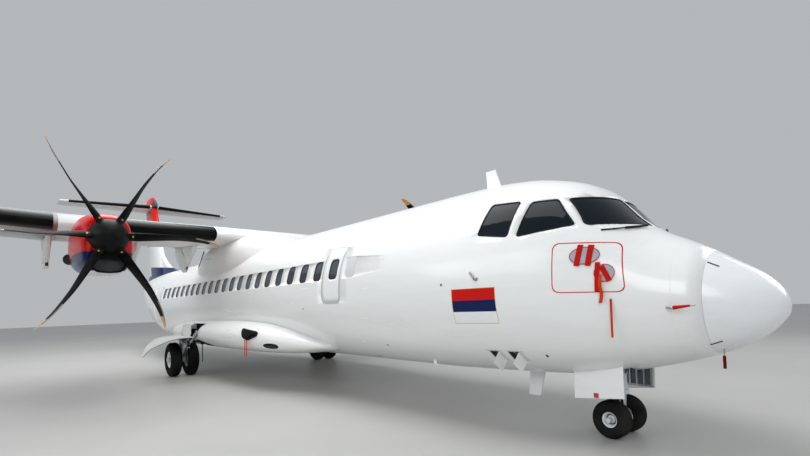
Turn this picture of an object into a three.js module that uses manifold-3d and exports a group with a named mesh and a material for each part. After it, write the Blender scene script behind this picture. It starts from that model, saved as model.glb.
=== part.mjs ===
// Twin-engined turboprop airliner with a high wing and a T-tail, parked on its landing gear.
// Millimetres. +X points to the nose, +Y to port, +Z up, and the tyres stand on z = 0.
// A station is the distance aft of the nose tip.
import * as THREE from 'three';
import { mergeVertices } from 'three/addons/utils/BufferGeometryUtils.js';
import Module from 'manifold-3d';

const wasm = await Module();
wasm.setup();

// Driving dimensions
const LENGTH = 27166;
const SEAT = 0.3;
const CLEAR = 8;
const BODY_SIDES = 28;
const SEAM = 600;
const TAIL_SEAM = 25000;
const WING_JOIN = 4660;
const WING_TIP = 13525;
const AIRFOIL_SHARES = [0, 0.0125, 0.05, 0.12, 0.25, 0.42, 0.6, 0.8, 1];
const PROPELLER = { station: 9298, side: 4050, height: 3085, radius: 1965, blades: 6, turn: 32 };
const NOSE_GEAR = { station: 1749, pivot: 1700, side: 200, radius: 225, width: 190, axle: 30, rim: 0.4 };
const MAIN_GEAR = { station: 12521, side: 2050, spread: 200, radius: 432, width: 254, axle: 55, rim: 0.47 };

// Body sections: station, half width, top, bottom, widest height, and the powers of the upper
// and lower half of the section, where 2 is an ellipse and more is squarer
const BODY = [
  [0, 20, 1550, 1510, 1530, 2, 2],
  [15, 85, 1615, 1455, 1532, 2, 2],
  [50, 160, 1690, 1400, 1538, 2, 2],
  [180, 300, 1842, 1262, 1555, 2, 2],
  [400, 475, 1990, 1118, 1580, 2, 2],
  [600, 590, 2120, 1040, 1610, 2, 2],
  [850, 715, 2262, 955, 1640, 2, 2.05],
  [1100, 830, 2385, 888, 1675, 2.1, 2.1],
  [1300, 915, 2530, 842, 1700, 2.35, 2.1],
  [1600, 1030, 2850, 783, 1745, 2.6, 2.15],
  [1850, 1115, 3050, 745, 1780, 2.55, 2.15],
  [2200, 1220, 3180, 715, 1820, 2.35, 2.2],
  [2700, 1330, 3295, 695, 1870, 2.1, 2.2],
  [3300, 1405, 3345, 680, 1905, 2, 2.25],
  [4200, 1432.5, 3354.5, 665, 1922, 2, 2.3],
  [18500, 1432.5, 3354.5, 665, 1922, 2, 2.3],
  [19500, 1400, 3354, 850, 1990, 2, 2.2],
  [20600, 1280, 3350, 1215, 2150, 2, 2.1],
  [22000, 1050, 3335, 1670, 2380, 2, 2],
  [23500, 775, 3290, 2140, 2630, 2, 2],
  [25000, 455, 3205, 2570, 2840, 2, 2],
  [26000, 210, 3105, 2835, 2960, 2, 2],
  [26350, 90, 3045, 2925, 2985, 2, 2],
];

// Wing sections: distance from the centreline, leading edge station, chord, height of the
// leading edge, and thickness as a share of the chord
const WING = [
  [0, 11170, 2570, 3570, 0.18],
  [WING_JOIN, 11170, 2570, 3570, 0.18],
  [13330, 11560, 1600, 3948, 0.14],
  [WING_TIP, 11660, 1380, 3957, 0.09],
];
// Fin sections: height, leading edge station, chord, offset, thickness share
const FIN = [
  [2960, 22675, 3670, 0, 0.11],
  [3300, 22870, 3500, 0, 0.12],
  [6850, 24929, 2003, 0, 0.12],
];
// Stabiliser sections: distance from the centreline, leading edge station, chord, height, thickness
const STABILISER = [
  [0, 25120, 2046, 6900, 0.12],
  [3560, 25790, 1290, 6900, 0.11],
  [3655, 25850, 1160, 6900, 0.07],
];
const WING_CAMBER = 0.025;
const INCIDENCE = 2;

const X = (station) => LENGTH / 2 - station;
const radians = (degrees) => (degrees * Math.PI) / 180;

// Smooth value of one column of a table at a place between its rows, with no overshoot
function between(rows, column, place) {
  const last = rows.length - 1;
  if (place <= rows[0][0]) return rows[0][column];
  if (place >= rows[last][0]) return rows[last][column];
  let i = 0;
  while (rows[i + 1][0] < place) i++;
  const span = (k) => rows[k + 1][0] - rows[k][0];
  const rise = (k) => (rows[k + 1][column] - rows[k][column]) / span(k);
  const slope = (k) => {
    if (k === 0) return rise(0);
    if (k === last) return rise(last - 1);
    const before = rise(k - 1);
    const after = rise(k);
    if (before * after <= 0) return 0;
    const near = 2 * span(k) + span(k - 1);
    const far = span(k) + 2 * span(k - 1);
    return (near + far) / (near / before + far / after);
  };
  const width = span(i);
  const t = (place - rows[i][0]) / width;
  const start = rows[i][column];
  const end = rows[i + 1][column];
  const ease = t * t * (3 - 2 * t);
  return (
    start + (end - start) * ease + width * t * (1 - t) * ((1 - t) * slope(i) - t * slope(i + 1))
  );
}

// Straight-line value of every column
function mix(rows, place) {
  let i = 0;
  while (i < rows.length - 2 && rows[i + 1][0] < place) i++;
  const t = (place - rows[i][0]) / (rows[i + 1][0] - rows[i][0]);
  return rows[i].map((value, column) => value + (rows[i + 1][column] - value) * t);
}

// Closed skin over rings of equal count, with flat ends
function skin(rings) {
  const count = rings[0].length;
  const points = rings.flat();
  const index = [];
  for (let i = 0; i + 1 < rings.length; i++) {
    for (let j = 0; j < count; j++) {
      const a = i * count + j;
      const b = i * count + ((j + 1) % count);
      index.push(a, b, b + count, a, b + count, a + count);
    }
  }
  const end = (ring, offset, flip) => {
    const normal = new THREE.Vector3();
    ring.forEach((p, k) => normal.add(p.clone().cross(ring[(k + 1) % count])));
    normal.normalize();
    const across = new THREE.Vector3(0.31, 0.53, 0.79).cross(normal).normalize();
    const up = normal.clone().cross(across);
    const flat = ring.map((p) => new THREE.Vector2(p.dot(across), p.dot(up)));
    for (const [a, b, c] of THREE.ShapeUtils.triangulateShape(flat, [])) {
      const turn = flat[b].clone().sub(flat[a]).cross(flat[c].clone().sub(flat[a]));
      const order = turn > 0 !== flip ? [a, b, c] : [a, c, b];
      index.push(...order.map((k) => k + offset));
    }
  };
  end(rings[0], 0, true);
  end(rings.at(-1), points.length - count, false);
  const geometry = new THREE.BufferGeometry().setFromPoints(points);
  geometry.setIndex(index);
  return facingOut(geometry);
}

// Turns a closed geometry's faces outwards
function facingOut(geometry) {
  const p = geometry.getAttribute('position');
  const index = geometry.getIndex().array;
  const [a, b, c] = [new THREE.Vector3(), new THREE.Vector3(), new THREE.Vector3()];
  let volume = 0;
  for (let i = 0; i < index.length; i += 3) {
    a.fromBufferAttribute(p, index[i]);
    b.fromBufferAttribute(p, index[i + 1]);
    c.fromBufferAttribute(p, index[i + 2]);
    volume += a.dot(b.cross(c));
  }
  if (volume < 0) geometry.setIndex(Array.from(index).reverse());
  return geometry;
}

// Geometry to a solid that can be joined and cut, and back
function solid(geometry) {
  let bare = geometry.clone();
  bare.deleteAttribute('normal');
  bare.deleteAttribute('uv');
  bare = facingOut(mergeVertices(bare, 1e-3));
  const vertProperties = new Float32Array(bare.getAttribute('position').array);
  const triVerts = new Uint32Array(bare.getIndex().array);
  return new wasm.Manifold(new wasm.Mesh({ numProp: 3, vertProperties, triVerts }));
}

function geometryOf(body) {
  const mesh = body.getMesh();
  const geometry = new THREE.BufferGeometry();
  geometry.setAttribute('position', new THREE.BufferAttribute(mesh.vertProperties, 3));
  geometry.setIndex(Array.from(mesh.triVerts));
  return geometry;
}

const join = (...bodies) => bodies.reduce((sum, body) => sum.add(body));
const cut = (body, ...tools) => tools.reduce((rest, tool) => rest.subtract(tool), body);
// A cut can leave a sliver beside the piece, which is dropped
const largest = (body) => body.decompose().sort((a, b) => b.volume() - a.volume())[0];

// Simple solids in place: a box between two corners, a rod between two points
function box(low, high) {
  const size = high.map((value, k) => value - low[k]);
  const geometry = new THREE.BoxGeometry(...size);
  geometry.translate(...low.map((value, k) => value + size[k] / 2));
  return solid(geometry);
}

function rod(from, to, radius, sides = 16, endRadius = radius) {
  const start = new THREE.Vector3(...from);
  const along = new THREE.Vector3(...to).sub(start);
  const geometry = new THREE.CylinderGeometry(endRadius, radius, along.length(), sides);
  geometry.translate(0, along.length() / 2, 0);
  const turn = new THREE.Quaternion().setFromUnitVectors(
    new THREE.Vector3(0, 1, 0),
    along.clone().normalize(),
  );
  geometry.applyQuaternion(turn);
  geometry.translate(start.x, start.y, start.z);
  return solid(geometry);
}

// Profile of radius and height turned about the Y axis, moved to a place
function turned(profile, sides, [x, y, z]) {
  const outline = profile.map(([radius, height]) => new THREE.Vector2(radius, height));
  const geometry = new THREE.LatheGeometry(outline, sides, Math.PI / sides);
  geometry.translate(x, y, z);
  return solid(geometry);
}

// Body of the aircraft
function bodyRing(station, grow = 0) {
  const [width, top, bottom, middle, upper, lower] = [1, 2, 3, 4, 5, 6].map((column) =>
    between(BODY, column, station),
  );
  const ring = [];
  for (let i = 0; i < BODY_SIDES; i++) {
    const angle = (2 * Math.PI * i) / BODY_SIDES;
    const [c, s] = [Math.cos(angle), Math.sin(angle)];
    const power = s >= 0 ? upper : lower;
    const tall = (s >= 0 ? top - middle : middle - bottom) + grow;
    const y = (width + grow) * Math.sign(c) * Math.abs(c) ** (2 / power);
    const z = middle + tall * Math.sign(s) * Math.abs(s) ** (2 / power);
    ring.push(new THREE.Vector3(X(station), y, z));
  }
  return ring;
}

function bodySolid(from, to, grow = 0) {
  const inside = BODY.map((row) => row[0]).filter((station) => station > from && station < to);
  return solid(skin([from, ...inside, to].map((station) => bodyRing(station, grow))));
}

const wholeBody = bodySolid(0, BODY.at(-1)[0], SEAT);

// Lifting surfaces. A span is a table with rows as above, laid along Y or, for the fin, along Z.
function makeSpan(rows, camber, incidence, upright) {
  const peak = 0.3;
  return {
    at(place) {
      const [, lead, chord, offset, thick] = mix(rows, Math.abs(place));
      return { lead, chord, offset, thick };
    },
    // Height of the surface at a share of the chord, above or below
    height(place, share, side, grow = 0) {
      const { chord, offset, thick } = this.at(place);
      const s = Math.min(Math.max(share, 0), 1);
      const half =
        5 *
        thick *
        (0.2969 * Math.sqrt(s) - 0.126 * s - 0.3516 * s ** 2 + 0.2843 * s ** 3 - 0.1036 * s ** 4);
      const front = (camber / peak ** 2) * (2 * peak * s - s * s);
      const back = (camber / (1 - peak) ** 2) * (1 - 2 * peak + 2 * peak * s - s * s);
      const line = s < peak ? front : back;
      const edge = 3 * s + grow;
      return offset + chord * (line - s * Math.tan(radians(incidence))) + side * (half * chord + edge);
    },
    station(place, share) {
      const { lead, chord } = this.at(place);
      return lead + chord * share;
    },
    point(place, station, height) {
      return upright
        ? new THREE.Vector3(X(station), height, place)
        : new THREE.Vector3(X(station), place, height);
    },
  };
}

const wing = makeSpan(WING, WING_CAMBER, INCIDENCE, false);
const fin = makeSpan(FIN, 0, 0, true);
const stabiliser = makeSpan(STABILISER, 0, 0, false);

// Whole section from the leading edge to the trailing edge
function fullRing(span, place, grow = 0) {
  const upper = AIRFOIL_SHARES.map((share) => [share, 1]);
  const lower = AIRFOIL_SHARES.slice(1)
    .reverse()
    .map((share) => [share, -1]);
  return [...upper, ...lower].map(([share, side]) => {
    const reach = share === 0 ? -grow : share === 1 ? grow : 0;
    const thick = share === 0 ? 0 : 1;
    const height = span.height(place, share, side * thick, grow);
    return span.point(place, span.station(place, share) + reach, height);
  });
}

const panel = (span, places, grow = 0) =>
  solid(skin(places.map((place) => fullRing(span, place, grow))));

// Hinge of a surface whose nose is a half circle about the hinge
function noseHinge(span, place, share) {
  const high = span.height(place, share, 1);
  const low = span.height(place, share, -1);
  return { station: span.station(place, share), height: (high + low) / 2, radius: (high - low) / 2 };
}

// Control surface with its nose turning in a cove, and the pocket that it moves in
function controlRing(span, place, share) {
  const hinge = noseHinge(span, place, share);
  const arc = [-90, -135, 180, 135, 90].map((degrees) => {
    const angle = radians(degrees);
    return [
      hinge.station + hinge.radius * Math.cos(angle),
      hinge.height + hinge.radius * Math.sin(angle),
    ];
  });
  const end = span.station(place, 1);
  const rear = [
    [end, span.height(place, 1, 1)],
    [end, span.height(place, 1, -1)],
  ];
  return [...arc, ...rear].map(([station, height]) => span.point(place, station, height));
}

function pocketRing(span, place, share) {
  const hinge = noseHinge(span, place, share);
  const reach = hinge.radius + CLEAR;
  const far = span.station(place, 1) + 300;
  const tall = 500;
  const arc = [-90, -112.5, -135, -157.5, 180, 157.5, 135, 112.5, 90].map((degrees) => {
    const angle = radians(degrees);
    return [hinge.station + reach * Math.cos(angle), hinge.height + reach * Math.sin(angle)];
  });
  const around = [
    [hinge.station, hinge.height + tall],
    [far, hinge.height + tall],
    [far, hinge.height - tall],
    [hinge.station, hinge.height - tall],
  ];
  return [...arc, ...around].map(([station, height]) => span.point(place, station, height));
}

// Flap on a hinge below the wing, tucked under a thin lip of the wing's upper skin
const FLAP = { share: 0.71, lip: 90, lipThick: 12, drop: 430 };

function flapRing(span, place) {
  const start = span.station(place, FLAP.share) + CLEAR;
  const shareOf = (station) => (station - span.at(place).lead) / span.at(place).chord;
  const top = (station) => span.height(place, shareOf(station), 1);
  const low = (station) => span.height(place, shareOf(station), -1);
  const tall = top(start) - low(start);
  const under = FLAP.lipThick + CLEAR;
  const lipEnd = start + FLAP.lip;
  const end = span.station(place, 1);
  return [
    [start, low(start) + 0.4 * tall],
    [start + 12, low(start) + 0.68 * tall],
    [start + 45, top(start + 45) - under],
    [lipEnd - CLEAR, top(lipEnd - CLEAR) - under],
    [lipEnd, top(lipEnd)],
    [start + 0.4 * (end - start), top(start + 0.4 * (end - start))],
    [end, top(end)],
    [end, low(end)],
    [start + 70, low(start + 70)],
    [start + 20, low(start) + 0.15 * tall],
  ].map(([station, height]) => span.point(place, station, height));
}

function flapPocketRing(span, place) {
  const start = span.station(place, FLAP.share);
  const shareOf = (station) => (station - span.at(place).lead) / span.at(place).chord;
  const top = (station) => span.height(place, shareOf(station), 1);
  const lipEnd = start + FLAP.lip;
  const far = span.station(place, 1) + 300;
  const tall = 500;
  return [
    [start, top(start) - tall - 300],
    [start, top(start) - FLAP.lipThick],
    [lipEnd, top(lipEnd) - FLAP.lipThick],
    [lipEnd, top(lipEnd) + tall],
    [far, top(lipEnd) + tall],
    [far, top(start) - tall - 300],
  ].map(([station, height]) => span.point(place, station, height));
}

function flapHinge(place) {
  const station = wing.station(place, FLAP.share) + CLEAR;
  const height = wing.height(place, FLAP.share, -1) - FLAP.drop;
  return { station, height };
}

// Flat plate in a plane across Y, from corners of station and height
function plate(corners, from, to) {
  const ring = (y) => corners.map(([station, height]) => new THREE.Vector3(X(station), y, height));
  return solid(skin([ring(from), ring(to)]));
}

// Deep pods streamline the flap hinges. The fixed half under the wing ends in a cove around the
// moving half, which is a disc about the hinge with a tail up to the flap. An arm of the fixed half
// runs to the hinge in a slot of the moving half. Its pin meets a boss half way across the gap.
// Inner and outer are the pod's sides, measured along the span from the arm's inner face.
const POD = { inner: -30, outer: 80, disc: 260, cove: 274, front: 1000, tail: 930, slot: 16 };
const ARM = { thick: 24, gap: 6, pin: 14, boss: 22 };

function hingeStub(y, from, to, radius) {
  const spot = (place) => {
    const { station, height } = flapHinge(place);
    return [X(station), place, height];
  };
  return rod(spot(y + from), spot(y + to), radius, 12);
}

const arcAbout = ({ station, height }, radius, degrees) =>
  degrees.map((angle) => [
    station + radius * Math.cos(radians(angle)),
    height + radius * Math.sin(radians(angle)),
  ]);

// Point a little inside the wing's lower skin
function insideWing(y, station, depth = 20) {
  const { lead, chord } = wing.at(y);
  return [station, wing.height(y, (station - lead) / chord, -1) + depth];
}

function fixedPod(y) {
  const hinge = flapHinge(y);
  const { station, height } = hinge;
  const shell = [
    ...arcAbout(hinge, POD.cove, [205, 190, 170, 150, 130, 110, 98]),
    insideWing(y, station - 2 * CLEAR),
    insideWing(y, station - 0.6 * POD.front),
    insideWing(y, station - POD.front),
    [station - 0.6 * POD.front, height + 100],
  ];
  const arm = [
    [-20, -28],
    [28, -14],
    [28, 16],
    [0, 34],
    [-120, 150],
    [-200, 262],
    [-330, 40],
  ].map(([back, up]) => [station + back, height + up]);
  const meet = ARM.thick + (ARM.gap - SEAT) / 2;
  const pin = hingeStub(y, ARM.thick / 2, meet, ARM.pin);
  return join(plate(shell, y + POD.inner, y + POD.outer), plate(arm, y, y + ARM.thick), pin);
}

function movingPod(y) {
  const hinge = flapHinge(y);
  const { station, height } = hinge;
  const tip = wing.height(y, 1, -1);
  const shell = [
    ...arcAbout(hinge, POD.disc, [88, 110, 135, 160, 185, 210, 235, 258, 275]),
    [station + 0.55 * POD.tail, height + 60],
    [station + POD.tail, tip - 50],
    insideWing(y, station + 0.75 * POD.tail, 6),
    insideWing(y, station + 0.4 * POD.tail),
    insideWing(y, station + 24, 44),
  ];
  const slot = box(
    [X(station + 50), y - POD.slot, height - 190],
    [X(station - 300), y + ARM.thick + POD.slot, height + 275],
  );
  const meet = ARM.thick + (ARM.gap + SEAT) / 2;
  const boss = hingeStub(y, meet, (ARM.thick + POD.outer) / 2, ARM.boss);
  return join(cut(plate(shell, y + POD.inner, y + POD.outer), slot), boss);
}

// Where each moving surface begins and ends along its span, with the gap at its ends. A hinge line
// that slants swings the ends along the span, so its gap is wider.
const FLAPS = {
  inboard: { from: 1380, to: 3540, gap: CLEAR },
  outboard: { from: 4705, to: 9165, gap: 50 },
};
// Where the hinge pods of each flap stand along the span
const FLAP_PODS = { inboard: [1830, 3065], outboard: [4737, 8030] };
const AILERON = { from: 9260, to: 13260, gap: 14, share: 0.72 };
const ELEVATOR = { from: 130, to: 3525, gap: 12, share: 0.66 };
const RUDDER = { from: 3460, to: 6650, gap: 45, share: 0.64 };

const mirrored = (body) => {
  const { vertProperties, triVerts } = body.getMesh();
  const flipped = vertProperties.map((value, k) => (k % 3 === 1 ? -value : value));
  return new wasm.Manifold(
    new wasm.Mesh({ numProp: 3, vertProperties: flipped, triVerts: triVerts.slice().reverse() }),
  );
};

const loft = (ring, span, places, share) =>
  solid(skin(places.map((place) => ring(span, place, share))));

// Pins from the end walls of a pocket to half way across the gap, along the hinge line, where
// they meet stubs on the surface that turns there
const PIN = { wall: 20, radius: 12 };

function hingeRod(span, share, start, end) {
  const spot = (place) => {
    const { station, height } = noseHinge(span, place, share);
    return span.point(place, station, height).toArray();
  };
  return rod(spot(start), spot(end), PIN.radius, 12);
}

function hingePins(span, { from, to, gap, share }) {
  const half = (gap + SEAT) / 2;
  return join(
    hingeRod(span, share, from - gap - PIN.wall, from - half),
    hingeRod(span, share, to + half, to + gap + PIN.wall),
  );
}

// Control surface between its end gaps, with its pin stubs, and the pocket that it turns in
function control(span, { from, to, gap, share }) {
  const half = (gap - SEAT) / 2;
  return join(
    loft(controlRing, span, [from, to], share),
    hingeRod(span, share, from - half, from + PIN.wall),
    hingeRod(span, share, to - PIN.wall, to + half),
  );
}

const pocketOf = (span, { from, to, gap, share }) =>
  loft(pocketRing, span, [from - gap, to + gap], share);

function flapSolid(name) {
  const { from, to } = FLAPS[name];
  const whole = solid(skin([from, to].map((place) => flapRing(wing, place))));
  return join(whole, ...FLAP_PODS[name].map(movingPod));
}

const flapPocket = ({ from, to, gap }) =>
  solid(skin([from - gap, to + gap].map((place) => flapPocketRing(wing, place))));

function wingCenter() {
  const pocket = flapPocket(FLAPS.inboard);
  const port = FLAP_PODS.inboard.map(fixedPod);
  const open = cut(panel(wing, [-WING_JOIN, WING_JOIN]), pocket, mirrored(pocket));
  return join(open, ...port, ...port.map(mirrored));
}

function outerWing() {
  const whole = panel(wing, [WING_JOIN + SEAT, 13330, WING_TIP]);
  const open = cut(whole, flapPocket(FLAPS.outboard), pocketOf(wing, AILERON));
  return join(
    open,
    ...FLAP_PODS.outboard.map(fixedPod),
    hingePins(wing, AILERON),
  );
}

const grownWing = panel(wing, [-WING_JOIN, WING_JOIN], SEAT);

// Fairing that carries the wing on top of the fuselage: station, half width, top
const WING_FAIRING = [
  [9900, 380, 3370],
  [10400, 900, 3500],
  [11000, 1190, 3660],
  [11600, 1290, 3760],
  [12900, 1290, 3700],
  [13770, 1240, 3600],
  [14600, 1060, 3500],
  [15500, 760, 3410],
  [16100, 380, 3360],
];
const WING_FAIRING_BASE = 2250;

// Rounded ring across the X axis: centre, half width, half height, power
function ovalRing(station, [y, z], width, tall, power, sides) {
  const ring = [];
  for (let i = 0; i < sides; i++) {
    const angle = (2 * Math.PI * i) / sides;
    const [c, s] = [Math.cos(angle), Math.sin(angle)];
    const across = width * Math.sign(c) * Math.abs(c) ** (2 / power);
    const up = tall * Math.sign(s) * Math.abs(s) ** (2 / power);
    ring.push(new THREE.Vector3(X(station), y + across, z + up));
  }
  return ring;
}

function wingFairing() {
  const rings = WING_FAIRING.map(([station, width, top]) => {
    const tall = (top - WING_FAIRING_BASE) / 2;
    return ovalRing(station, [0, WING_FAIRING_BASE + tall], width, tall, 2.6, 20);
  });
  return cut(solid(skin(rings)), wholeBody, grownWing);
}

// Landing gear fairing on the side of the belly: station, outer side, top, bottom
const GEAR_FAIRING = [
  [6750, 1160, 1000, 860],
  [7300, 1370, 1130, 780],
  [8000, 1600, 1270, 740],
  [9000, 1810, 1370, 725],
  [10500, 1900, 1410, 720],
  [13300, 1900, 1400, 730],
  [14600, 1740, 1330, 780],
  [15700, 1470, 1220, 860],
  [16500, 1180, 1100, 930],
];
const GEAR_FAIRING_ROOT = 500;
const BEAM = { top: 990, bottom: 885, width: 150 };
const GEAR_BAY = { from: 11950, to: 13100, inner: 1150, roof: 1180 };

function gearFairing() {
  const rings = GEAR_FAIRING.map(([station, outer, top, bottom]) => {
    const width = (outer - GEAR_FAIRING_ROOT) / 2;
    const tall = (top - bottom) / 2;
    return ovalRing(station, [GEAR_FAIRING_ROOT + width, bottom + tall], width, tall, 2.3, 18);
  });
  const bay = box(
    [X(GEAR_BAY.to), GEAR_BAY.inner, 0],
    [X(GEAR_BAY.from), 3000, GEAR_BAY.roof],
  );
  const at = X(MAIN_GEAR.station);
  const room = BEAM.width / 2 + SEAT;
  const notch = box([at - room, 700, BEAM.bottom - SEAT], [at + room, 1300, BEAM.top + SEAT]);
  return cut(solid(skin(rings)), wholeBody, bay, notch);
}

// Nacelle: station, half width, top, bottom
const NACELLE = [
  [9450, 330, 3415, 2455],
  [9470, 360, 3450, 2430],
  [9520, 385, 3480, 2410],
  [9620, 405, 3520, 2385],
  [9900, 437, 3580, 2385],
  [10200, 458, 3620, 2400],
  [10600, 458, 3660, 2430],
  [11170, 430, 3690, 2470],
  [11800, 392, 3690, 2530],
  [12500, 345, 3650, 2640],
  [13200, 285, 3570, 2830],
  [13900, 190, 3460, 3060],
  [14350, 60, 3360, 3240],
];
const NACELLE_POWER = 2.8;
const ENGINE = { from: 9620, to: 11450, width: 580, top: 3280, bottom: 2640, shaft: 100 };
const SPINNER = { back: 9440, radius: 315, tip: 9000 };
// Air intake under the spinner: distance from the nacelle's middle, and height
const MOUTH = [
  [-275, 2700],
  [275, 2700],
  [285, 2600],
  [200, 2460],
  [0, 2435],
  [-200, 2460],
  [-285, 2600],
];
const MOUTH_DEPTH = { from: 9400, to: 9600 };
// Exhaust on the outer side: station, distance out, height, half width, half height
const EXHAUST = [
  [11550, 4300, 2870, 100, 120],
  [11750, 4360, 2870, 110, 122],
  [11950, 4420, 2870, 112, 120],
];
const EXHAUST_WALL = 14;

function exhaustSolid(grow = 0) {
  const ring = ([station, y, z, wide, tall]) =>
    ovalRing(station, [y, z], wide + grow, tall + grow, 2, 16);
  return solid(skin(EXHAUST.map(ring)));
}

// The pipe is open at the back, as deep as its last section
function exhaust() {
  const [, middle, end] = EXHAUST;
  const bore = ([station, y, z, wide, tall], back) =>
    ovalRing(station + back, [y, z], wide - EXHAUST_WALL, tall - EXHAUST_WALL, 2, 16);
  return cut(exhaustSolid(), solid(skin([bore(middle, 0), bore(end, 0), bore(end, EXHAUST_WALL)])));
}

function engineSolid(grow = 0) {
  const { from, to, width, top, bottom } = ENGINE;
  const side = PROPELLER.side;
  const block = box(
    [X(to) - grow, side - width / 2 - grow, bottom - grow],
    [X(from) + grow, side + width / 2 + grow, top + grow],
  );
  const shaft = rod(
    [X(from) - 100, side, PROPELLER.height],
    [X(SPINNER.back) - SEAT + grow * 400, side, PROPELLER.height],
    ENGINE.shaft + grow,
    16,
  );
  return join(block, shaft);
}

function nacelle() {
  const rings = NACELLE.map(([station, width, top, bottom]) => {
    const tall = (top - bottom) / 2;
    return ovalRing(station, [PROPELLER.side, bottom + tall], width, tall, NACELLE_POWER, 20);
  });
  const mouth = [MOUTH_DEPTH.from, MOUTH_DEPTH.to].map((station) =>
    MOUTH.map(([out, z]) => new THREE.Vector3(X(station), PROPELLER.side + out, z)),
  );
  return cut(
    solid(skin(rings)),
    grownWing,
    engineSolid(SEAT),
    exhaustSolid(SEAT),
    solid(skin(mouth)),
  );
}

// Propeller blade sections: radius, chord, thickness, middle of the chord ahead of the hub, twist
const BLADE = [
  [180, 130, 90, 0, 20],
  [400, 190, 56, 10, 16],
  [800, 285, 34, 35, 10],
  [1200, 305, 22, 30, 5],
  [1550, 270, 15, -20, 1],
  [1800, 205, 10, -95, -2],
  [1920, 140, 8, -155, -3],
  [1965, 60, 6, -200, -4],
];
const BLADE_OUTLINE = [
  [0.5, 0],
  [0.2, 0.5],
  [-0.2, 0.4],
  [-0.5, 0.04],
  [-0.2, -0.26],
  [0.25, -0.36],
];

function propeller() {
  const rings = BLADE.map(([radius, chord, thick, ahead, twist]) =>
    BLADE_OUTLINE.map(([along, across]) => {
      const turn = radians(twist);
      const forward = along * chord * Math.cos(turn) - across * thick * Math.sin(turn);
      const side = along * chord * Math.sin(turn) + across * thick * Math.cos(turn);
      return new THREE.Vector3(ahead + forward, side, radius);
    }),
  );
  const geometry = skin(rings);
  const blades = [];
  for (let i = 0; i < PROPELLER.blades; i++) {
    const angle = radians(PROPELLER.turn + (i * 360) / PROPELLER.blades);
    const copy = geometry.clone();
    copy.rotateX(angle);
    copy.translate(X(PROPELLER.station), PROPELLER.side, PROPELLER.height);
    blades.push(solid(copy));
  }
  const { back, radius, tip } = SPINNER;
  const long = back - tip;
  const profile = [[0, 0]];
  for (const share of [0, 0.3, 0.55, 0.75, 0.9, 0.97]) {
    profile.push([radius * Math.sqrt(1 - share ** 2.2), share * long]);
  }
  profile.push([0, long]);
  const cone = new THREE.LatheGeometry(profile.map(([r, h]) => new THREE.Vector2(r, h)), 18);
  cone.rotateZ(-Math.PI / 2);
  cone.translate(X(back), PROPELLER.side, PROPELLER.height);
  return join(solid(cone), ...blades);
}

// Tail
const grownStabiliser = panel(stabiliser, [-1500, 0, 1500], SEAT);

function finSolid() {
  const blade = panel(fin, FIN.map((row) => row[0]));
  const fillet = skin(
    [
      [19200, 3340, 30, 60],
      [21200, 3480, 60, 130],
      [22700, 3900, 90, 180],
      [24000, 4720, 60, 150],
    ].map(([station, top, thin, wide]) => [
      new THREE.Vector3(X(station), 0, top),
      new THREE.Vector3(X(station), thin, top - 60),
      new THREE.Vector3(X(station), wide, 2960),
      new THREE.Vector3(X(station), -wide, 2960),
      new THREE.Vector3(X(station), -thin, top - 60),
    ]),
  );
  const whole = join(blade, solid(fillet));
  const open = cut(whole, pocketOf(fin, RUDDER), wholeBody, grownStabiliser);
  return join(open, hingePins(fin, RUDDER));
}

// Cap on the fin above the stabiliser: station, half width, base, top
const FIN_CAP = [
  [24760, 20, 6850, 6900],
  [24900, 90, 6850, 7060],
  [25120, 130, 6850, 7230],
  [25500, 150, 6900, 7440],
  [26200, 140, 6900, 7500],
  [26800, 80, 6900, 7300],
  [27100, 20, 6900, 7000],
];

function finCap() {
  const rings = FIN_CAP.map(([station, width, base, top]) => [
    new THREE.Vector3(X(station), width, base + SEAT),
    new THREE.Vector3(X(station), width * 0.9, (base + top) / 2),
    new THREE.Vector3(X(station), width * 0.3, top),
    new THREE.Vector3(X(station), -width * 0.3, top),
    new THREE.Vector3(X(station), -width * 0.9, (base + top) / 2),
    new THREE.Vector3(X(station), -width, base + SEAT),
  ]);
  return cut(solid(skin(rings)), grownStabiliser);
}

function stabiliserSolid() {
  const whole = panel(stabiliser, [-3655, -3560, 0, 3560, 3655]);
  const pocket = pocketOf(stabiliser, ELEVATOR);
  const pins = hingePins(stabiliser, ELEVATOR);
  return join(cut(whole, pocket, mirrored(pocket)), pins, mirrored(pins));
}

// Landing gear
const FACETS = 20;
const boreRadius = (axle) => (axle + SEAT) / Math.cos(Math.PI / FACETS);

// The tyre has its radius at the middle of its flats, and it stands on one of them
function tyre({ radius, width }, inner) {
  const half = width / 2;
  const outer = radius / Math.cos(Math.PI / FACETS);
  const wall = outer - inner;
  const side = [
    [inner, 0.74],
    [inner + 0.2 * wall, 0.96],
    [inner + 0.5 * wall, 1],
    [inner + 0.82 * wall, 0.84],
    [outer, 0.32],
  ];
  const lower = side.map(([r, share]) => [r, -share * half]);
  const upper = side.reverse().map(([r, share]) => [r, share * half]);
  return [...lower, ...upper, lower[0]];
}

function rim({ width, axle }, outer) {
  const half = width / 2;
  const bore = boreRadius(axle);
  const side = [
    [bore, 0.66],
    [0.5 * outer, 0.6],
    [0.84 * outer, 0.3],
    [outer, 0.74],
  ];
  const lower = side.map(([r, share]) => [r, -share * half]);
  const upper = side.reverse().map(([r, share]) => [r, share * half]);
  return [...lower, ...upper, lower[0]];
}

function wheel(gear, y) {
  const inner = gear.rim * gear.radius;
  const place = [X(gear.station), y, gear.radius];
  return [
    turned(rim(gear, inner - SEAT), FACETS, place),
    turned(tyre(gear, inner), FACETS, place),
  ];
}

// Nose gear bay in the belly, the leg in it and the steered fork below
const NOSE_BAY = { from: 1420, to: 2130, side: 350, roof: 1150 };

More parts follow.
